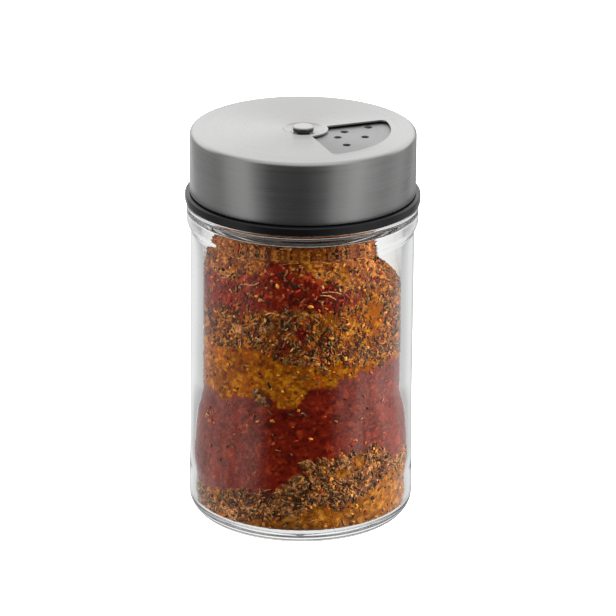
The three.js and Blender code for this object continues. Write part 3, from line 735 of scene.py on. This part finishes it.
def jar_shape(angle, radius, height):
    on_neck = (height > shoulder_top + NECK_FILLET) & (radius > neck_radius - RIM_ROUND / 2)
    stands = ridge(angle, height, shoulder_top + THREAD_LIFT, jar_thread_turns, JAR_THREAD_WIDTH)
    inside = (radius > neck_bore / 2) & (radius < upper_inner + LOWER_WALL_THICKNESS / 2)
    inside &= (height > BASE_THICKNESS + INNER_HEEL_ROUND) & (height < shoulder_top)
    places = np.stack([radius * np.cos(angle), radius * np.sin(angle), height / GLASS_WAVE_STRETCH], 1)
    wave = layered_noise(places, GLASS_WAVES)
    return radius + np.where(on_neck, stands, 0) + np.where(inside, wave, 0)


def glass_jar(material):
    profile = outer_profile() + list(reversed(inner_wall() + inner_shoulder()))
    profile = refined(profile, BEAD_BLEND)
    neck = [point for point in profile if point[1] >= shoulder_top]
    first = profile.index(neck[0])
    profile[first:first + len(neck)] = refined(neck, THREAD_ROW)
    piece = turned("jar_glass", profile, FINE_COLUMNS, closed=False, shape=jar_shape)
    piece.data.shade_smooth()
    place(piece, "jar", material, ["glass_jar"])
    piece.visible_shadow = False
    piece.visible_diffuse = False


# Values of the strata, one row for each stratum, blended at every bearing and height
def strata(bearing, height, values):
    angle = np.radians(bearing)
    places = np.stack([body_radius * np.sin(angle), -body_radius * np.cos(angle), height], 1)
    warp = layered_noise(places, EDGE_WARPS)
    table = np.asarray(values, float)
    blended = np.repeat(table[:1], len(height), axis=0)
    for index, tops in enumerate(STRATUM_TOPS):
        degrees, shares = np.array(tops).T
        top = BASE_THICKNESS + fill_depth * np.interp(bearing, degrees, shares, period=360)
        over = smooth_step((height + warp * MM - top) / EDGE_SOFTNESS + 0.5)[:, None]
        blended = blended * (1 - over) + table[index + 1] * over
    for centre, share, half_width, half_height, index in PATCH_SHARES:
        across = ((bearing - centre + 180) % 360 - 180) / half_width
        along = (height - BASE_THICKNESS - fill_depth * share) / (fill_depth * half_height)
        nearness = 1 - np.hypot(across, along) + PATCH_WARP_SHARE * warp
        inside = smooth_step(nearness / PATCH_SOFTNESS)[:, None]
        blended = blended * (1 - inside) + table[index] * inside
    return blended


# The same where each stratum has a single number
def strata_level(bearing, height, levels):
    return strata(bearing, height, np.array(levels)[:, None])[:, 0]


# How far the powder lies from the glass, where it has slipped down on one side and in its crown
def slump(bearing, height):
    outer = upper_inner + SLUMP_SOFTNESS
    levels = np.cumsum([SLUMP_START, SLUMP_SHELF, SLUMP_RISE])
    reach = np.interp(height, levels, [outer, SLUMP_SHELF_REACH, SLUMP_TOP_REACH])
    across = np.cos(np.radians(bearing - SLUMP_BEARING))
    limit = np.where(across > 0, reach / np.maximum(across, SLUMP_SOFTNESS / outer), outer)
    slipped = np.where(height > SLUMP_START, wall_radius(height) - limit, 0)
    crown = CROWN_DEPTH * (np.maximum(height - CROWN_START, 0) / (fill_top - CROWN_START)) ** 2
    return np.maximum(slipped, crown)


def fill_shape(angle, radius, height):
    bearing = np.degrees(angle) + 90
    places = np.stack([radius * np.cos(angle), radius * np.sin(angle), height], 1)
    grains = 0.5 + layered_noise(places, FILL_GRAINS)
    drawn_in = FILL_RELIEF * grains + slump(bearing, height)
    return radius * (1 - drawn_in / upper_inner)


# Colour of the powder at each place, with its clumps, and the dust on the glass with painted sheen towards
# the sides
def powder_colours(places, bearing, height):
    colour = strata(bearing, height, POWDER_COLOURS)
    for clumps, colours, levels in ((SHADE_CLUMPS, SHADE_COLOURS, SHADE_LEVELS),
                                    (LIGHT_CLUMPS, LIGHT_COLOURS, LIGHT_LEVELS)):
        excess = layered_noise(places, clumps) - strata_level(bearing, height, levels)
        share = smooth_step(excess / CLUMP_EDGE + 0.5)[:, None]
        colour = colour * (1 - share) + strata(bearing, height, colours) * share
    colour *= 1 + layered_noise(places, UNEVENNESS)[:, None]
    # Pale dust and painted sheen, laid on more strongly the further the bearing is from the front
    streaks = 1 + layered_noise(places * (1, 1, DUST_AND_SHEEN_STREAK_SHARE), DUST_AND_SHEEN_STREAKS)
    dust_and_sheen = strata_level(bearing, height, DUST_AND_SHEEN_SHARES) * streaks
    dust_and_sheen = (dust_and_sheen * smooth_step((np.abs(bearing) - DUST_AND_SHEEN_START) / DUST_AND_SHEEN_FADE))[:, None]
    return colour * (1 - dust_and_sheen) + np.array(DUST_AND_SHEEN_COLOUR) * dust_and_sheen


def spice_fill(material):
    profile = inner_wall(FILL_GAP)[:-1] + [(upper_inner - FILL_GAP, fill_top), (0, fill_top)]
    profile = refined(profile, FILL_ROW)
    piece = turned("spice_fill", profile, FILL_COLUMNS, closed=False, shape=fill_shape)
    flat = np.zeros(len(piece.data.vertices) * 3)
    piece.data.vertices.foreach_get("co", flat)
    places = flat.reshape(-1, 3)
    bearing = np.degrees(np.arctan2(places[:, 0], -places[:, 1]))
    height = places[:, 2]
    coarse = strata_level(bearing, height, COARSE_SHARES)
    paint(piece, powder_colours(places, bearing, height), coarse)
    piece.data.shade_smooth()
    place(piece, "jar", material, ["turmeric_bed", "herb_layer", "paprika_layer",
                                                  "turmeric_layer", "chilli_layer", "spice_mound"])


def paint(piece, colours, coarse):
    layer = piece.data.color_attributes.new("powder", "FLOAT_COLOR", "POINT")
    with_alpha = np.concatenate([colours, coarse[:, None]], axis=1)
    layer.data.foreach_set("color", with_alpha.ravel())


# Unit shape along X, made of rings and closed by its two end points
def ring_shape(outline, sides):
    vertices = [(outline[0][0], 0, 0)]
    for along, reach in outline[1:-1]:
        for side in range(sides):
            angle = TURN * side / sides
            vertices.append((along, reach * math.cos(angle), reach * math.sin(angle)))
    vertices.append((outline[-1][0], 0, 0))
    faces = []
    rings = len(outline) - 2
    last = len(vertices) - 1
    end = 1 + (rings - 1) * sides
    for side in range(sides):
        after = (side + 1) % sides
        faces.append((0, 1 + after, 1 + side))
        faces.append((last, end + side, end + after))
        for row in range(rings - 1):
            here = 1 + row * sides
            faces.append((here + side, here + after, here + sides + after, here + sides + side))
    return np.array(vertices), faces


def turn_all(local, first, second, angles):
    turned_local = local.copy()
    cosine = np.cos(angles)[:, None]
    sine = np.sin(angles)[:, None]
    turned_local[..., first] = local[..., first] * cosine - local[..., second] * sine
    turned_local[..., second] = local[..., first] * sine + local[..., second] * cosine
    return turned_local


# Bearings and heights of the bits of one kind, as dense as each stratum has them
def bit_spots(rng, density):
    area = TURN * upper_inner * (fill_top - bit_floor) / (MM * MM)
    tries = int(area * max(density))
    bearing = rng.uniform(-180, 180, tries)
    height = rng.uniform(bit_floor, fill_top, tries)
    wanted = strata_level(bearing, height, density)
    kept = rng.random(tries) * max(density) < wanted
    return bearing[kept], height[kept]


# Copies of a unit shape, each with its own size, bend and turn, and their half thicknesses
def bent_copies(rng, count, shape, length, width, thickness, bend):
    size = np.stack([rng.uniform(*length, count), rng.uniform(*width, count) / 2,
                     rng.uniform(*thickness, count) / 2], 1)
    uneven = 1 + BIT_UNEVENNESS * (rng.random((count, len(shape), 3)) - 0.5)
    local = shape[None] * uneven * size[:, None]
    bow = rng.uniform(-bend, bend, count)[:, None] * local[..., 0] ** 2 / size[:, :1]
    local[..., 1] += bow
    local[..., 2] += BIT_BOW_SHARE * bow
    spin = rng.uniform(-math.pi, math.pi, count)
    lean = rng.normal(0, BIT_TILT, count)
    pitch = rng.normal(0, BIT_TILT, count)
    local = turn_all(turn_all(turn_all(local, 1, 2, lean), 0, 2, pitch), 0, 1, spin)
    return local, size[:, 2]


# Places of the copies' points, with each copy against the wall and none of its points in the glass
def against_wall(local, bearing, height, reach):
    angle = np.radians(bearing)
    level = np.zeros(len(bearing))
    out = np.stack([np.sin(angle), -np.cos(angle), level], 1)
    side = np.stack([np.cos(angle), np.sin(angle), level], 1)
    centre = out * reach[:, None] + np.stack([level, level, height], 1)
    places = centre[:, None] + local[..., :1] * side[:, None] + local[..., 2:] * out[:, None]
    places[..., 2] += local[..., 1]
    places = places.reshape(-1, 3)
    places[:, 2] = np.maximum(places[:, 2], bit_floor)
    limit = wall_radius(places[:, 2]) - FILL_GAP / 2
    spread = np.hypot(places[:, 0], places[:, 1])
    places[:, :2] *= np.minimum(1, limit / spread)[:, None]
    return places


def scatter(material, name, outline, sides, seed, bend, density, length, width, thickness, palette):
    rng = np.random.default_rng(SEED + seed)
    bearing, height = bit_spots(rng, density)
    count = len(bearing)
    shape, shape_faces = ring_shape(outline, sides)
    local, half_thickness = bent_copies(rng, count, shape, length, width, thickness, bend)
    depth = rng.uniform(BIT_DEPTH_LEAST, FILL_RELIEF / 2, count) + half_thickness + slump(bearing, height)
    places = against_wall(local, bearing, height, wall_radius(height) - FILL_GAP - depth)
    offsets = np.arange(count) * len(shape)
    faces = [tuple(int(corner + offset) for corner in face) for offset in offsets for face in shape_faces]
    piece = mesh_object(name, places, faces)
    shades = np.array(palette)[rng.integers(0, len(palette), count)]
    shades = shades * rng.uniform(*BIT_SHADES, (count, 1))
    paint(piece, np.repeat(shades, len(shape), axis=0), np.ones(count * len(shape)))
    piece.data.shade_smooth()
    place(piece, "jar", material)


def single_bits(material):
    shape, shape_faces = ring_shape(FIBRE_SHARES, SINGLE_SIDES)
    vertices = []
    faces = []
    colours = []
    for bearing, share, length, width, slope, bend, kind in SINGLE_BITS:
        height = BASE_THICKNESS + fill_depth * share
        local = shape * (length, width / 2, width / 2)
        local[:, 1] += bend * local[:, 0] ** 2 / length
        cosine, sine = polar(1, slope)
        across = local[:, 0] * cosine - local[:, 1] * sine
        rise = local[:, 0] * sine + local[:, 1] * cosine
        reach = wall_radius(height) - slump(bearing, height) - FILL_GAP - SINGLE_SINK_SHARE * width
        angle = math.radians(bearing) + across / reach
        radius = reach + local[:, 2]
        offset = len(vertices)
        vertices += list(np.stack([radius * np.sin(angle), -radius * np.cos(angle), height + rise], 1))
        faces += [tuple(offset + corner for corner in face) for face in shape_faces]
        colours += [SINGLE_COLOURS[kind]] * len(shape)
    piece = mesh_object("single_bits", vertices, faces)
    paint(piece, np.array(colours), np.ones(len(colours)))
    piece.data.shade_smooth()
    place(piece, "jar", material)


# The lid
def cap_shape(angle, radius, height):
    on_wall = (radius < cap_bore + CAP_WALL / 2) & (height < plate_bottom) & (radius > port_outer)
    start = shoulder_top + THREAD_LIFT - THREAD_PITCH / 2
    stands = ridge(angle, height, start, CAP_THREAD_TURNS, cap_thread_width)
    return radius - np.where(on_wall, stands, 0)


def key_block(width, length, extra, bottom, top, bearing):
    inner = disc_radius - length
    outer = disc_radius + extra
    outline = [(inner, -width / 2), (outer, -width / 2), (outer, width / 2), (inner, width / 2)]
    return prism("key", turned_outline(outline, bearing), bottom, top)


def inner_cap(material):
    outer = [(cap_wall_radius, lid_base), (cap_wall_radius, plate_top - CAP_CORNER)]
    outer += arc_to(cap_wall_radius - CAP_CORNER, plate_top - CAP_CORNER, CAP_CORNER, 0, 90)
    outer += [(rivet_hole, plate_top), (rivet_hole, plate_bottom)]
    wall = refined([(cap_bore, plate_bottom), (cap_bore, lid_base)], THREAD_ROW)
    piece = turned("black_inner_cap", outer + wall, shape=cap_shape)
    outline = sector(port_inner, port_outer, PORT_ANGLE, PORT_FILLET, PORT_FILLET)
    ports = [prism("port", turned_outline(outline, bearing), plate_bottom - OVERRUN, plate_top + OVERRUN)
             for bearing in PORT_BEARINGS]
    combine(piece, ports)
    keys = [key_block(KEY_WIDTH, KEY_LENGTH, 0, plate_top - SEAT_GAP, disc_top, bearing)
            for bearing in KEY_BEARINGS]
    combine(piece, keys, "UNION")
    finish_pressed(piece)
    place(piece, "lid", material, ["inner_cap"], PATTERN_BEARING)


# The rim of the inner cap, left out of what the glass shows so that the shoulder stays bright
def cap_flange(material):
    piece = rounded_ring("black_cap_flange", cap_wall_radius, flange_radius, lid_base,
                         lid_base + FLANGE_HEIGHT, FLANGE_ROUND)
    smooth(piece)
    place(piece, "lid", material)
    piece.visible_transmission = False


# A prism that goes right through the disc
def punch(outline):
    return prism("punch", outline, disc_bottom - OVERRUN, disc_top + OVERRUN)


def hole_punches(holes, radius):
    return [punch(arc(polar(share * window_outer, bearing), radius, 0, 360, HOLE_STEPS)[:-1])
            for share, bearing in holes]


def sifter_disc(material):
    inner = dimple_rim + RUN_GAP
    profile = [(inner, disc_bottom), (disc_radius, disc_bottom), (disc_radius, disc_top), (inner, disc_top)]
    piece = turned("sifter_plate", profile)
    cutters = hole_punches(FINE_HOLE_SHARES, FINE_HOLE_RADIUS)
    cutters += hole_punches(COARSE_HOLE_SHARES, COARSE_HOLE_RADIUS)
    outline = sector(port_inner + POUR_MARGIN, port_outer - POUR_MARGIN, POUR_ANGLE, POUR_FILLET, POUR_FILLET)
    cutters.append(punch(turned_outline(outline, POUR_BEARING)))
    cutters += [key_block(KEY_WIDTH + 2 * KEY_SIDE_GAP, KEY_LENGTH + KEY_SIDE_GAP, KEY_LENGTH,
                          disc_bottom - OVERRUN, disc_top + OVERRUN, bearing) for bearing in KEY_BEARINGS]
    combine(piece, cutters)
    finish_pressed(piece)
    place(piece, "lid", material, ["sifter_disc"], PATTERN_BEARING)


def selector_cap(material):
    dimple_top = shell_top - dimple_depth
    dimple_under = shell_underside - dimple_depth
    corner = shell_radius - SHELL_CORNER
    corner_height = shell_top - SHELL_CORNER
    profile = [(rivet_hole, dimple_top), (DIMPLE_FLOOR, dimple_top)]
    profile += blend_to(DIMPLE_FLOOR, dimple_top, dimple_rim, shell_top, ARC_STEPS)
    profile += [(corner, shell_top)] + arc_to(corner, corner_height, SHELL_CORNER, 90, 0, ARC_STEPS * 2)
    profile += [(shell_radius, shell_bottom), (shell_inner, shell_bottom), (shell_inner, corner_height)]
    profile += arc_to(corner, corner_height, SHELL_CORNER - SHEET, 0, 90)
    profile += [(dimple_rim, shell_underside)]
    profile += blend_to(dimple_rim, shell_underside, DIMPLE_FLOOR, dimple_under, ARC_STEPS)
    profile += [(rivet_hole, dimple_under)]
    piece = turned("steel_selector_cap", profile, FINE_COLUMNS)
    outline = sector(WINDOW_INNER, window_outer, WINDOW_ANGLE, WINDOW_INNER_FILLET, WINDOW_OUTER_FILLET)
    combine(piece, [prism("window", outline, shell_underside - OVERRUN / 2, shell_top + OVERRUN)])
    finish_pressed(piece)
    place(piece, "selector", material, ["selector_cap"], WINDOW_BEARING)
    piece.visible_transmission = False


def pivot_rivet(material):
    head_bottom = rivet_head_top - RIVET_HEAD_HEIGHT
    tail_bottom = tail_top - RIVET_TAIL_HEIGHT
    tail = RIVET_TAIL_RADIUS - RIVET_HEAD_ROUND
    head = RIVET_HEAD_RADIUS - RIVET_HEAD_ROUND
    profile = [(0, tail_bottom), (tail, tail_bottom)]
    profile += arc_to(tail, tail_bottom + RIVET_HEAD_ROUND, RIVET_HEAD_ROUND, -90, 0)
    profile += [(RIVET_TAIL_RADIUS, tail_top), (RIVET_SHANK_RADIUS, tail_top)]
    profile += [(RIVET_SHANK_RADIUS, head_bottom), (RIVET_HEAD_RADIUS, head_bottom)]
    profile += [(RIVET_HEAD_RADIUS, rivet_head_top - RIVET_HEAD_ROUND)]
    profile += arc_to(head, rivet_head_top - RIVET_HEAD_ROUND, RIVET_HEAD_ROUND, 0, 90)
    profile += [(0, rivet_head_top)]
    piece = turned("centre_rivet", profile, SMALL_COLUMNS, closed=False)
    smooth(piece)
    place(piece, "lid", material, ["pivot_rivet"])


def spring_washer(material):
    middle = spring_top - SPRING_WAVE - SPRING_WASHER_THICKNESS / 2
    half = SPRING_WASHER_THICKNESS / 2
    profile = [(rivet_hole, middle - half), (SPRING_WASHER_RADIUS, middle - half),
               (SPRING_WASHER_RADIUS, middle + half), (rivet_hole, middle + half)]
    piece = turned("waved_washer", profile, SMALL_COLUMNS)
    for vertex in piece.data.vertices:
        angle = math.atan2(vertex.co.y, vertex.co.x)
        vertex.co.z += SPRING_WAVE * math.cos(SPRING_WAVES * angle)
    finish_pressed(piece)
    place(piece, "lid", material, ["spring_washer"], PATTERN_BEARING)


def flat_washer(material):
    piece = rounded_ring("flat_washer", rivet_hole, FLAT_WASHER_RADIUS, flat_top - FLAT_WASHER_THICKNESS,
                         flat_top, PRESSED_EDGE)
    smooth(piece)
    place(piece, "lid", material, ["rivet_washer"])


def rim_seal(material):
    piece = rounded_ring("white_rim_seal", neck_bore + SEAL_SIDE_GAP, cap_bore - SEAL_SIDE_GAP, seal_bottom,
                         seal_top, SEAL_ROUND)
    smooth(piece)
    place(piece, "lid_seal", material, ["rim_seal"])


# Materials
class Nodes:
    """Short calls for building a node tree; a value is a number, a colour or another node's output."""

    def __init__(self, name, owner=None):
        self.material = owner or bpy.data.materials.new(name)
        self.material.use_nodes = True
        self.tree = self.material.node_tree
        self.shader = self.tree.nodes.get("Principled BSDF")

    def add(self, kind, **settings):
        node = self.tree.nodes.new("ShaderNode" + kind)
        for name, value in settings.items():
            setattr(node, name, value)
        return node

    def feed(self, socket, value):
        if isinstance(value, bpy.types.NodeSocket):
            self.tree.links.new(value, socket)
        else:
            socket.default_value = value

    def surface(self, **values):
        for name, value in values.items():
            self.feed(self.shader.inputs[name.replace("_", " ")], value)

    def places(self):
        return self.add("TexCoord").outputs["Object"]

    def split(self, vector):
        node = self.add("SeparateXYZ")
        self.feed(node.inputs[0], vector)
        return node.outputs

    def join(self, x=0.0, y=0.0, z=0.0):
        node = self.add("CombineXYZ")
        for socket, value in zip(node.inputs, (x, y, z)):
            self.feed(socket, value)
        return node.outputs[0]

    def scaled(self, vector, amount):
        node = self.add("VectorMath", operation="SCALE")
        self.feed(node.inputs[0], vector)
        self.feed(node.inputs["Scale"], amount)
        return node.outputs[0]

    def vector(self, operation, *values):
        node = self.add("VectorMath", operation=operation)
        for socket, value in zip(node.inputs, values):
            self.feed(socket, value)
        return node.outputs

    def maths(self, operation, first, second):
        node = self.add("Math", operation=operation)
        self.feed(node.inputs[0], first)
        self.feed(node.inputs[1], second)
        return node.outputs[0]

    def mix(self, share, low, high):
        node = self.add("Mix", data_type="FLOAT")
        for index, value in ((0, share), (2, low), (3, high)):
            self.feed(node.inputs[index], value)
        return node.outputs[0]

    def colours(self, share, pair):
        node = self.add("Mix", data_type="RGBA")
        self.feed(node.inputs[0], share)
        for index, colour in zip((6, 7), pair):
            self.feed(node.inputs[index], (*colour, 1))
        return node.outputs[2]

    def range(self, value, results, limits=UNIT):
        node = self.add("MapRange")
        self.feed(node.inputs["Value"], value)
        for name, number in zip(("From Min", "From Max", "To Min", "To Max"), (*limits, *results)):
            node.inputs[name].default_value = number
        return node.outputs[0]

    # Level by bearing, from a table of degrees and levels
    def levels(self, bearing, table):
        ramp = self.add("ValToRGB")
        ramp.color_ramp.interpolation = "EASE"
        elements = ramp.color_ramp.elements
        elements.remove(elements[-1])
        for index, (degrees, level) in enumerate(table):
            position = (degrees + 180) / 360
            element = elements[0] if index == 0 else elements.new(position)
            element.position = position
            element.color = (level, level, level, 1)
        self.feed(ramp.inputs[0], self.range(bearing, UNIT, (-math.pi, math.pi)))
        return ramp.outputs[0]

    def noise(self, scale, detail=SOFT_DETAIL, roughness=NOISE_ROUGHNESS, distortion=0, vector=None):
        node = self.add("TexNoise")
        self.feed(node.inputs["Vector"], vector or self.places())
        for name, number in (("Scale", scale), ("Detail", detail), ("Roughness", roughness),
                             ("Distortion", distortion)):
            node.inputs[name].default_value = number
        return node.outputs["Fac"]

    def bump(self, height, strength, distance):
        node = self.add("Bump")
        for name, value in (("Height", height), ("Strength", strength), ("Distance", distance)):
            self.feed(node.inputs[name], value)
        return node.outputs["Normal"]


# Brushed steel: fine lines run round the axis, on flat tops and on skirts alike
def brushed_steel(name, colours, roughness, line, strength):
    made = Nodes(name)
    spot = made.split(made.places())
    flat = made.join(spot["X"], spot["Y"])
    outwards = made.scaled(made.vector("NORMALIZE", flat)[0], BRUSH_STROKES)
    travelled = made.maths("ADD", made.vector("LENGTH", flat)["Value"], spot["Z"])
    lifted = made.join(z=made.maths("DIVIDE", travelled, line))
    strokes = made.vector("ADD", outwards, lifted)[0]
    fine = made.noise(1.0, FINE_DETAIL, BRUSH_ROUGHNESS, vector=strokes)
    broad = made.noise(BROAD_SCALE, vector=strokes)
    blotch = made.range(made.noise(BLOTCH_SCALE), BLOTCH_SWING)
    mixed = made.maths("ADD", made.maths("MULTIPLY", fine, FINE_SHARE),
                       made.maths("MULTIPLY", broad, BROAD_SHARE))
    tangent = made.add("Tangent", direction_type="RADIAL", axis="Z")
    made.surface(Base_Color=made.colours(made.range(mixed, UNIT, BRUSH_SPREAD), colours),
                 Roughness=made.maths("ADD", made.range(broad, roughness, BRUSH_SPREAD), blotch),
                 Normal=made.bump(mixed, strength, BRUSH_DEPTH), Tangent=tangent.outputs[0], Metallic=1.0,
                 Anisotropic=BRUSH_ANISOTROPY, Anisotropic_Rotation=BRUSH_DIRECTION)
    return made.material


# The rivet's side is painted dark, a painted reflection of the dark dimple, and its top is bright to match
# the studio it mirrors
def rivet_steel():
    made = Nodes("rivet_polished")
    limits = [rivet_head_top - share * RIVET_HEAD_ROUND for share in RIVET_SHADE_SHARES]
    # Painted reflection: dark colour on the side below, bright colour on the top
    rise = made.range(made.split(made.places())["Z"], UNIT, limits)
    cloud = made.noise(1 / RIVET_HEAD_RADIUS)
    made.surface(Base_Color=made.colours(rise, RIVET_PAINTED_REFLECTION_COLOURS), Roughness=made.range(cloud, RIVET_ROUGHNESS),
                 Metallic=1.0)
    return made.material


def clear_glass():
    made = Nodes("clear_pressed_glass")
    ripple = made.noise(RIPPLE_SCALE, RIPPLE_DETAIL)
    smear = made.noise(SMEAR_SCALE, FINE_DETAIL)
    made.surface(Base_Color=GLASS_COLOUR, Roughness=made.range(smear, GLASS_ROUGHNESS, SMEAR_SPREAD),
                 Normal=made.bump(ripple, RIPPLE_STRENGTH, RIPPLE_DEPTH), IOR=GLASS_INDEX,
                 Transmission_Weight=1.0, Specular_Tint=GLASS_SPECULAR_TINT)
    return made.material


# Powder in its painted colours; the paint's alpha says how coarse it is
def powder():
    made = Nodes("spice_powder")
    painted = made.add("VertexColor", layer_name="powder").outputs
    coarse = painted["Alpha"]
    cells = made.add("TexVoronoi")
    made.feed(cells.inputs["Scale"], 1 / GRAIN)
    made.feed(cells.inputs["Vector"], made.places())
    distance = cells.outputs["Distance"]
    pick = made.add("SeparateColor")
    made.feed(pick.inputs[0], cells.outputs["Color"])
    offset = made.maths("MULTIPLY", made.maths("SUBTRACT", pick.outputs[0], 0.5),
                        made.mix(coarse, *GRAIN_SPREADS))
    # Painted shade in the crevices: each grain darkens from its middle towards its edge
    crevice_shade = made.range(distance, PAINTED_CREVICE_SHADES, GRAIN_EDGES)
    veins = made.range(made.noise(VEIN_SCALE, distortion=VEIN_DISTORTION), VEIN_SHADES, VEIN_EDGES)
    bright = made.maths("MULTIPLY", made.maths("ADD", 1.0, offset), made.mix(coarse, 1.0, crevice_shade))
    bright = made.maths("MULTIPLY", bright, made.mix(coarse, 1.0, veins))
    height = made.maths("MULTIPLY", made.maths("SUBTRACT", 1.0, distance), coarse)
    relief = made.maths("ADD", height, made.maths("MULTIPLY", made.noise(DUSTING_SCALE), DUSTING_SHARE))
    made.surface(Base_Color=made.scaled(painted["Color"], bright), Roughness=POWDER_ROUGHNESS,
                 Normal=made.bump(relief, POWDER_STRENGTH, POWDER_DEPTH), Specular_IOR_Level=POWDER_SPECULAR)
    return made.material


def bit_surface():
    made = Nodes("spice_bits")
    tint = made.add("VertexColor", layer_name="powder").outputs["Color"]
    grain = made.noise(1 / BIT_GRAIN, FINE_DETAIL)
    shade = made.range(grain, BIT_GRAIN_SHADES, BIT_GRAIN_EDGES)
    made.surface(Base_Color=made.scaled(tint, shade), Roughness=BIT_ROUGHNESS,
                 Normal=made.bump(grain, BIT_STRENGTH, BIT_DEPTH), Specular_IOR_Level=BIT_SPECULAR)
    return made.material


def black_plastic():
    made = Nodes("satin_black_plastic")
    grain = made.noise(1 / PLASTIC_GRAIN)
    cloud = made.noise(PLASTIC_CLOUD_SCALE)
    made.surface(Base_Color=made.colours(cloud, PLASTIC_COLOURS),
                 Roughness=made.range(cloud, PLASTIC_ROUGHNESS),
                 Normal=made.bump(grain, PLASTIC_STRENGTH, PLASTIC_DEPTH))
    return made.material


def white_rubber():
    made = Nodes("matt_white_seal")
    grain = made.noise(1 / RUBBER_GRAIN, FINE_DETAIL)
    cloud = made.noise(RUBBER_CLOUD_SCALE)
    made.surface(Base_Color=made.colours(cloud, RUBBER_COLOURS),
                 Roughness=made.range(grain, RUBBER_ROUGHNESS),
                 Normal=made.bump(grain, RUBBER_STRENGTH, RUBBER_DEPTH))
    return made.material


def studio_world():
    made = Nodes("studio", bpy.data.worlds.new("studio"))
    bpy.context.scene.world = made.material
    toward = made.split(made.add("TexCoord").outputs["Generated"])
    bearing = made.maths("ARCTAN2", toward["X"], made.maths("MULTIPLY", toward["Y"], -1.0))
    behind = made.range(toward["Y"], UNIT, BACKDROP_EDGE)
    raised = made.range(toward["Z"], UNIT, BACKDROP_FOOT)
    backdrop = made.maths("MULTIPLY", behind, raised)
    level = made.mix(backdrop, made.levels(bearing, STUDIO_LEVELS), BACKDROP_LEVEL)
    level = made.mix(made.range(toward["Z"], UNIT, CEILING_EDGE), level, CEILING_LEVEL)
    through = made.mix(backdrop, made.levels(bearing, THROUGH_LEVELS), BACKDROP_LEVEL)
    through = made.mix(made.range(toward["Z"], (1, 0), TABLE_EDGE), through, TABLE_LEVEL)
    through = made.mix(made.range(toward["Z"], UNIT, SKY_EDGE), through, SKY_LEVEL)
    path = made.add("LightPath").outputs
    level = made.mix(path["Is Transmission Ray"], level, through)
    level = made.mix(path["Is Camera Ray"], level, BACK_LEVEL)
    made.feed(made.tree.nodes["Background"].inputs["Color"], level)


def studio_floor():
    reach = FLOOR_REACH_SHARE * body_radius
    corners = [(-reach, -reach, 0), (reach, -reach, 0), (reach, reach, 0), (-reach, reach, 0)]
    floor = mesh_object("studio_floor", corners, [(0, 1, 2, 3)])
    made = Nodes("pale_floor")
    made.surface(Base_Color=FLOOR_COLOUR, Roughness=FLOOR_ROUGHNESS, Emission_Color=WHITE,
                 Emission_Strength=1.0)
    floor.data.materials.append(made.material)
    floor.visible_glossy = False
    floor.visible_diffuse = False
    floor.visible_transmission = False
    floor.visible_shadow = False


# Place and turn of what looks at a target from a bearing, an elevation and a distance
def looking_from(bearing, elevation, target, distance):
    turn = Matrix.Rotation(math.radians(bearing), 4, "Z")
    lean = Matrix.Rotation(math.radians(90 - elevation), 4, "X")
    return Matrix.Translation(target) @ turn @ lean @ Matrix.Translation((0, 0, distance))


def soft_lights():
    for name, bearing, elevation, power, size in LIGHTS:
        data = bpy.data.lights.new(name, "AREA")
        data.shape = "DISK"
        data.size = size
        data.energy = power
        light = bpy.data.objects.new(name, data)
        bpy.context.scene.collection.objects.link(light)
        light.matrix_world = looking_from(bearing, elevation, (0, 0, jar_height / 2), LIGHT_DISTANCE)
        light.visible_glossy = False
        light.visible_transmission = False
        light.visible_camera = False


def camera():
    data = bpy.data.cameras.new("view")
    data.sensor_fit = "HORIZONTAL"
    data.lens = data.sensor_width * FOCAL_PIXELS / IMAGE_PIXELS
    piece = bpy.data.objects.new("view", data)
    bpy.context.scene.collection.objects.link(piece)
    piece.matrix_world = (looking_from(0, VIEW_ELEVATION, VIEW_TARGET, VIEW_DISTANCE)
                          @ Matrix.Rotation(math.radians(VIEW_ROLL), 4, "Z"))
    bpy.context.scene.camera = piece


def look():
    scene = bpy.context.scene
    scene.view_settings.view_transform = "Standard"
    scene.cycles.max_bounces = LIGHT_BOUNCES
    scene.cycles.transmission_bounces = LIGHT_BOUNCES
    scene.cycles.glossy_bounces = LIGHT_BOUNCES


camera()
look()
studio_world()
studio_floor()
soft_lights()
glass_jar(clear_glass())
spice_fill(powder())
bits = bit_surface()
for kind in BIT_KINDS:
    scatter(bits, **kind)
single_bits(bits)
cap_plastic = black_plastic()
inner_cap(cap_plastic)
cap_flange(cap_plastic)
sifter_disc(brushed_steel(**DISC_STEEL))
selector_cap(brushed_steel(**CAP_STEEL))
spring_steel = brushed_steel(**SPRING_STEEL)
spring_washer(spring_steel)
flat_washer(spring_steel)
pivot_rivet(rivet_steel())
rim_seal(white_rubber())
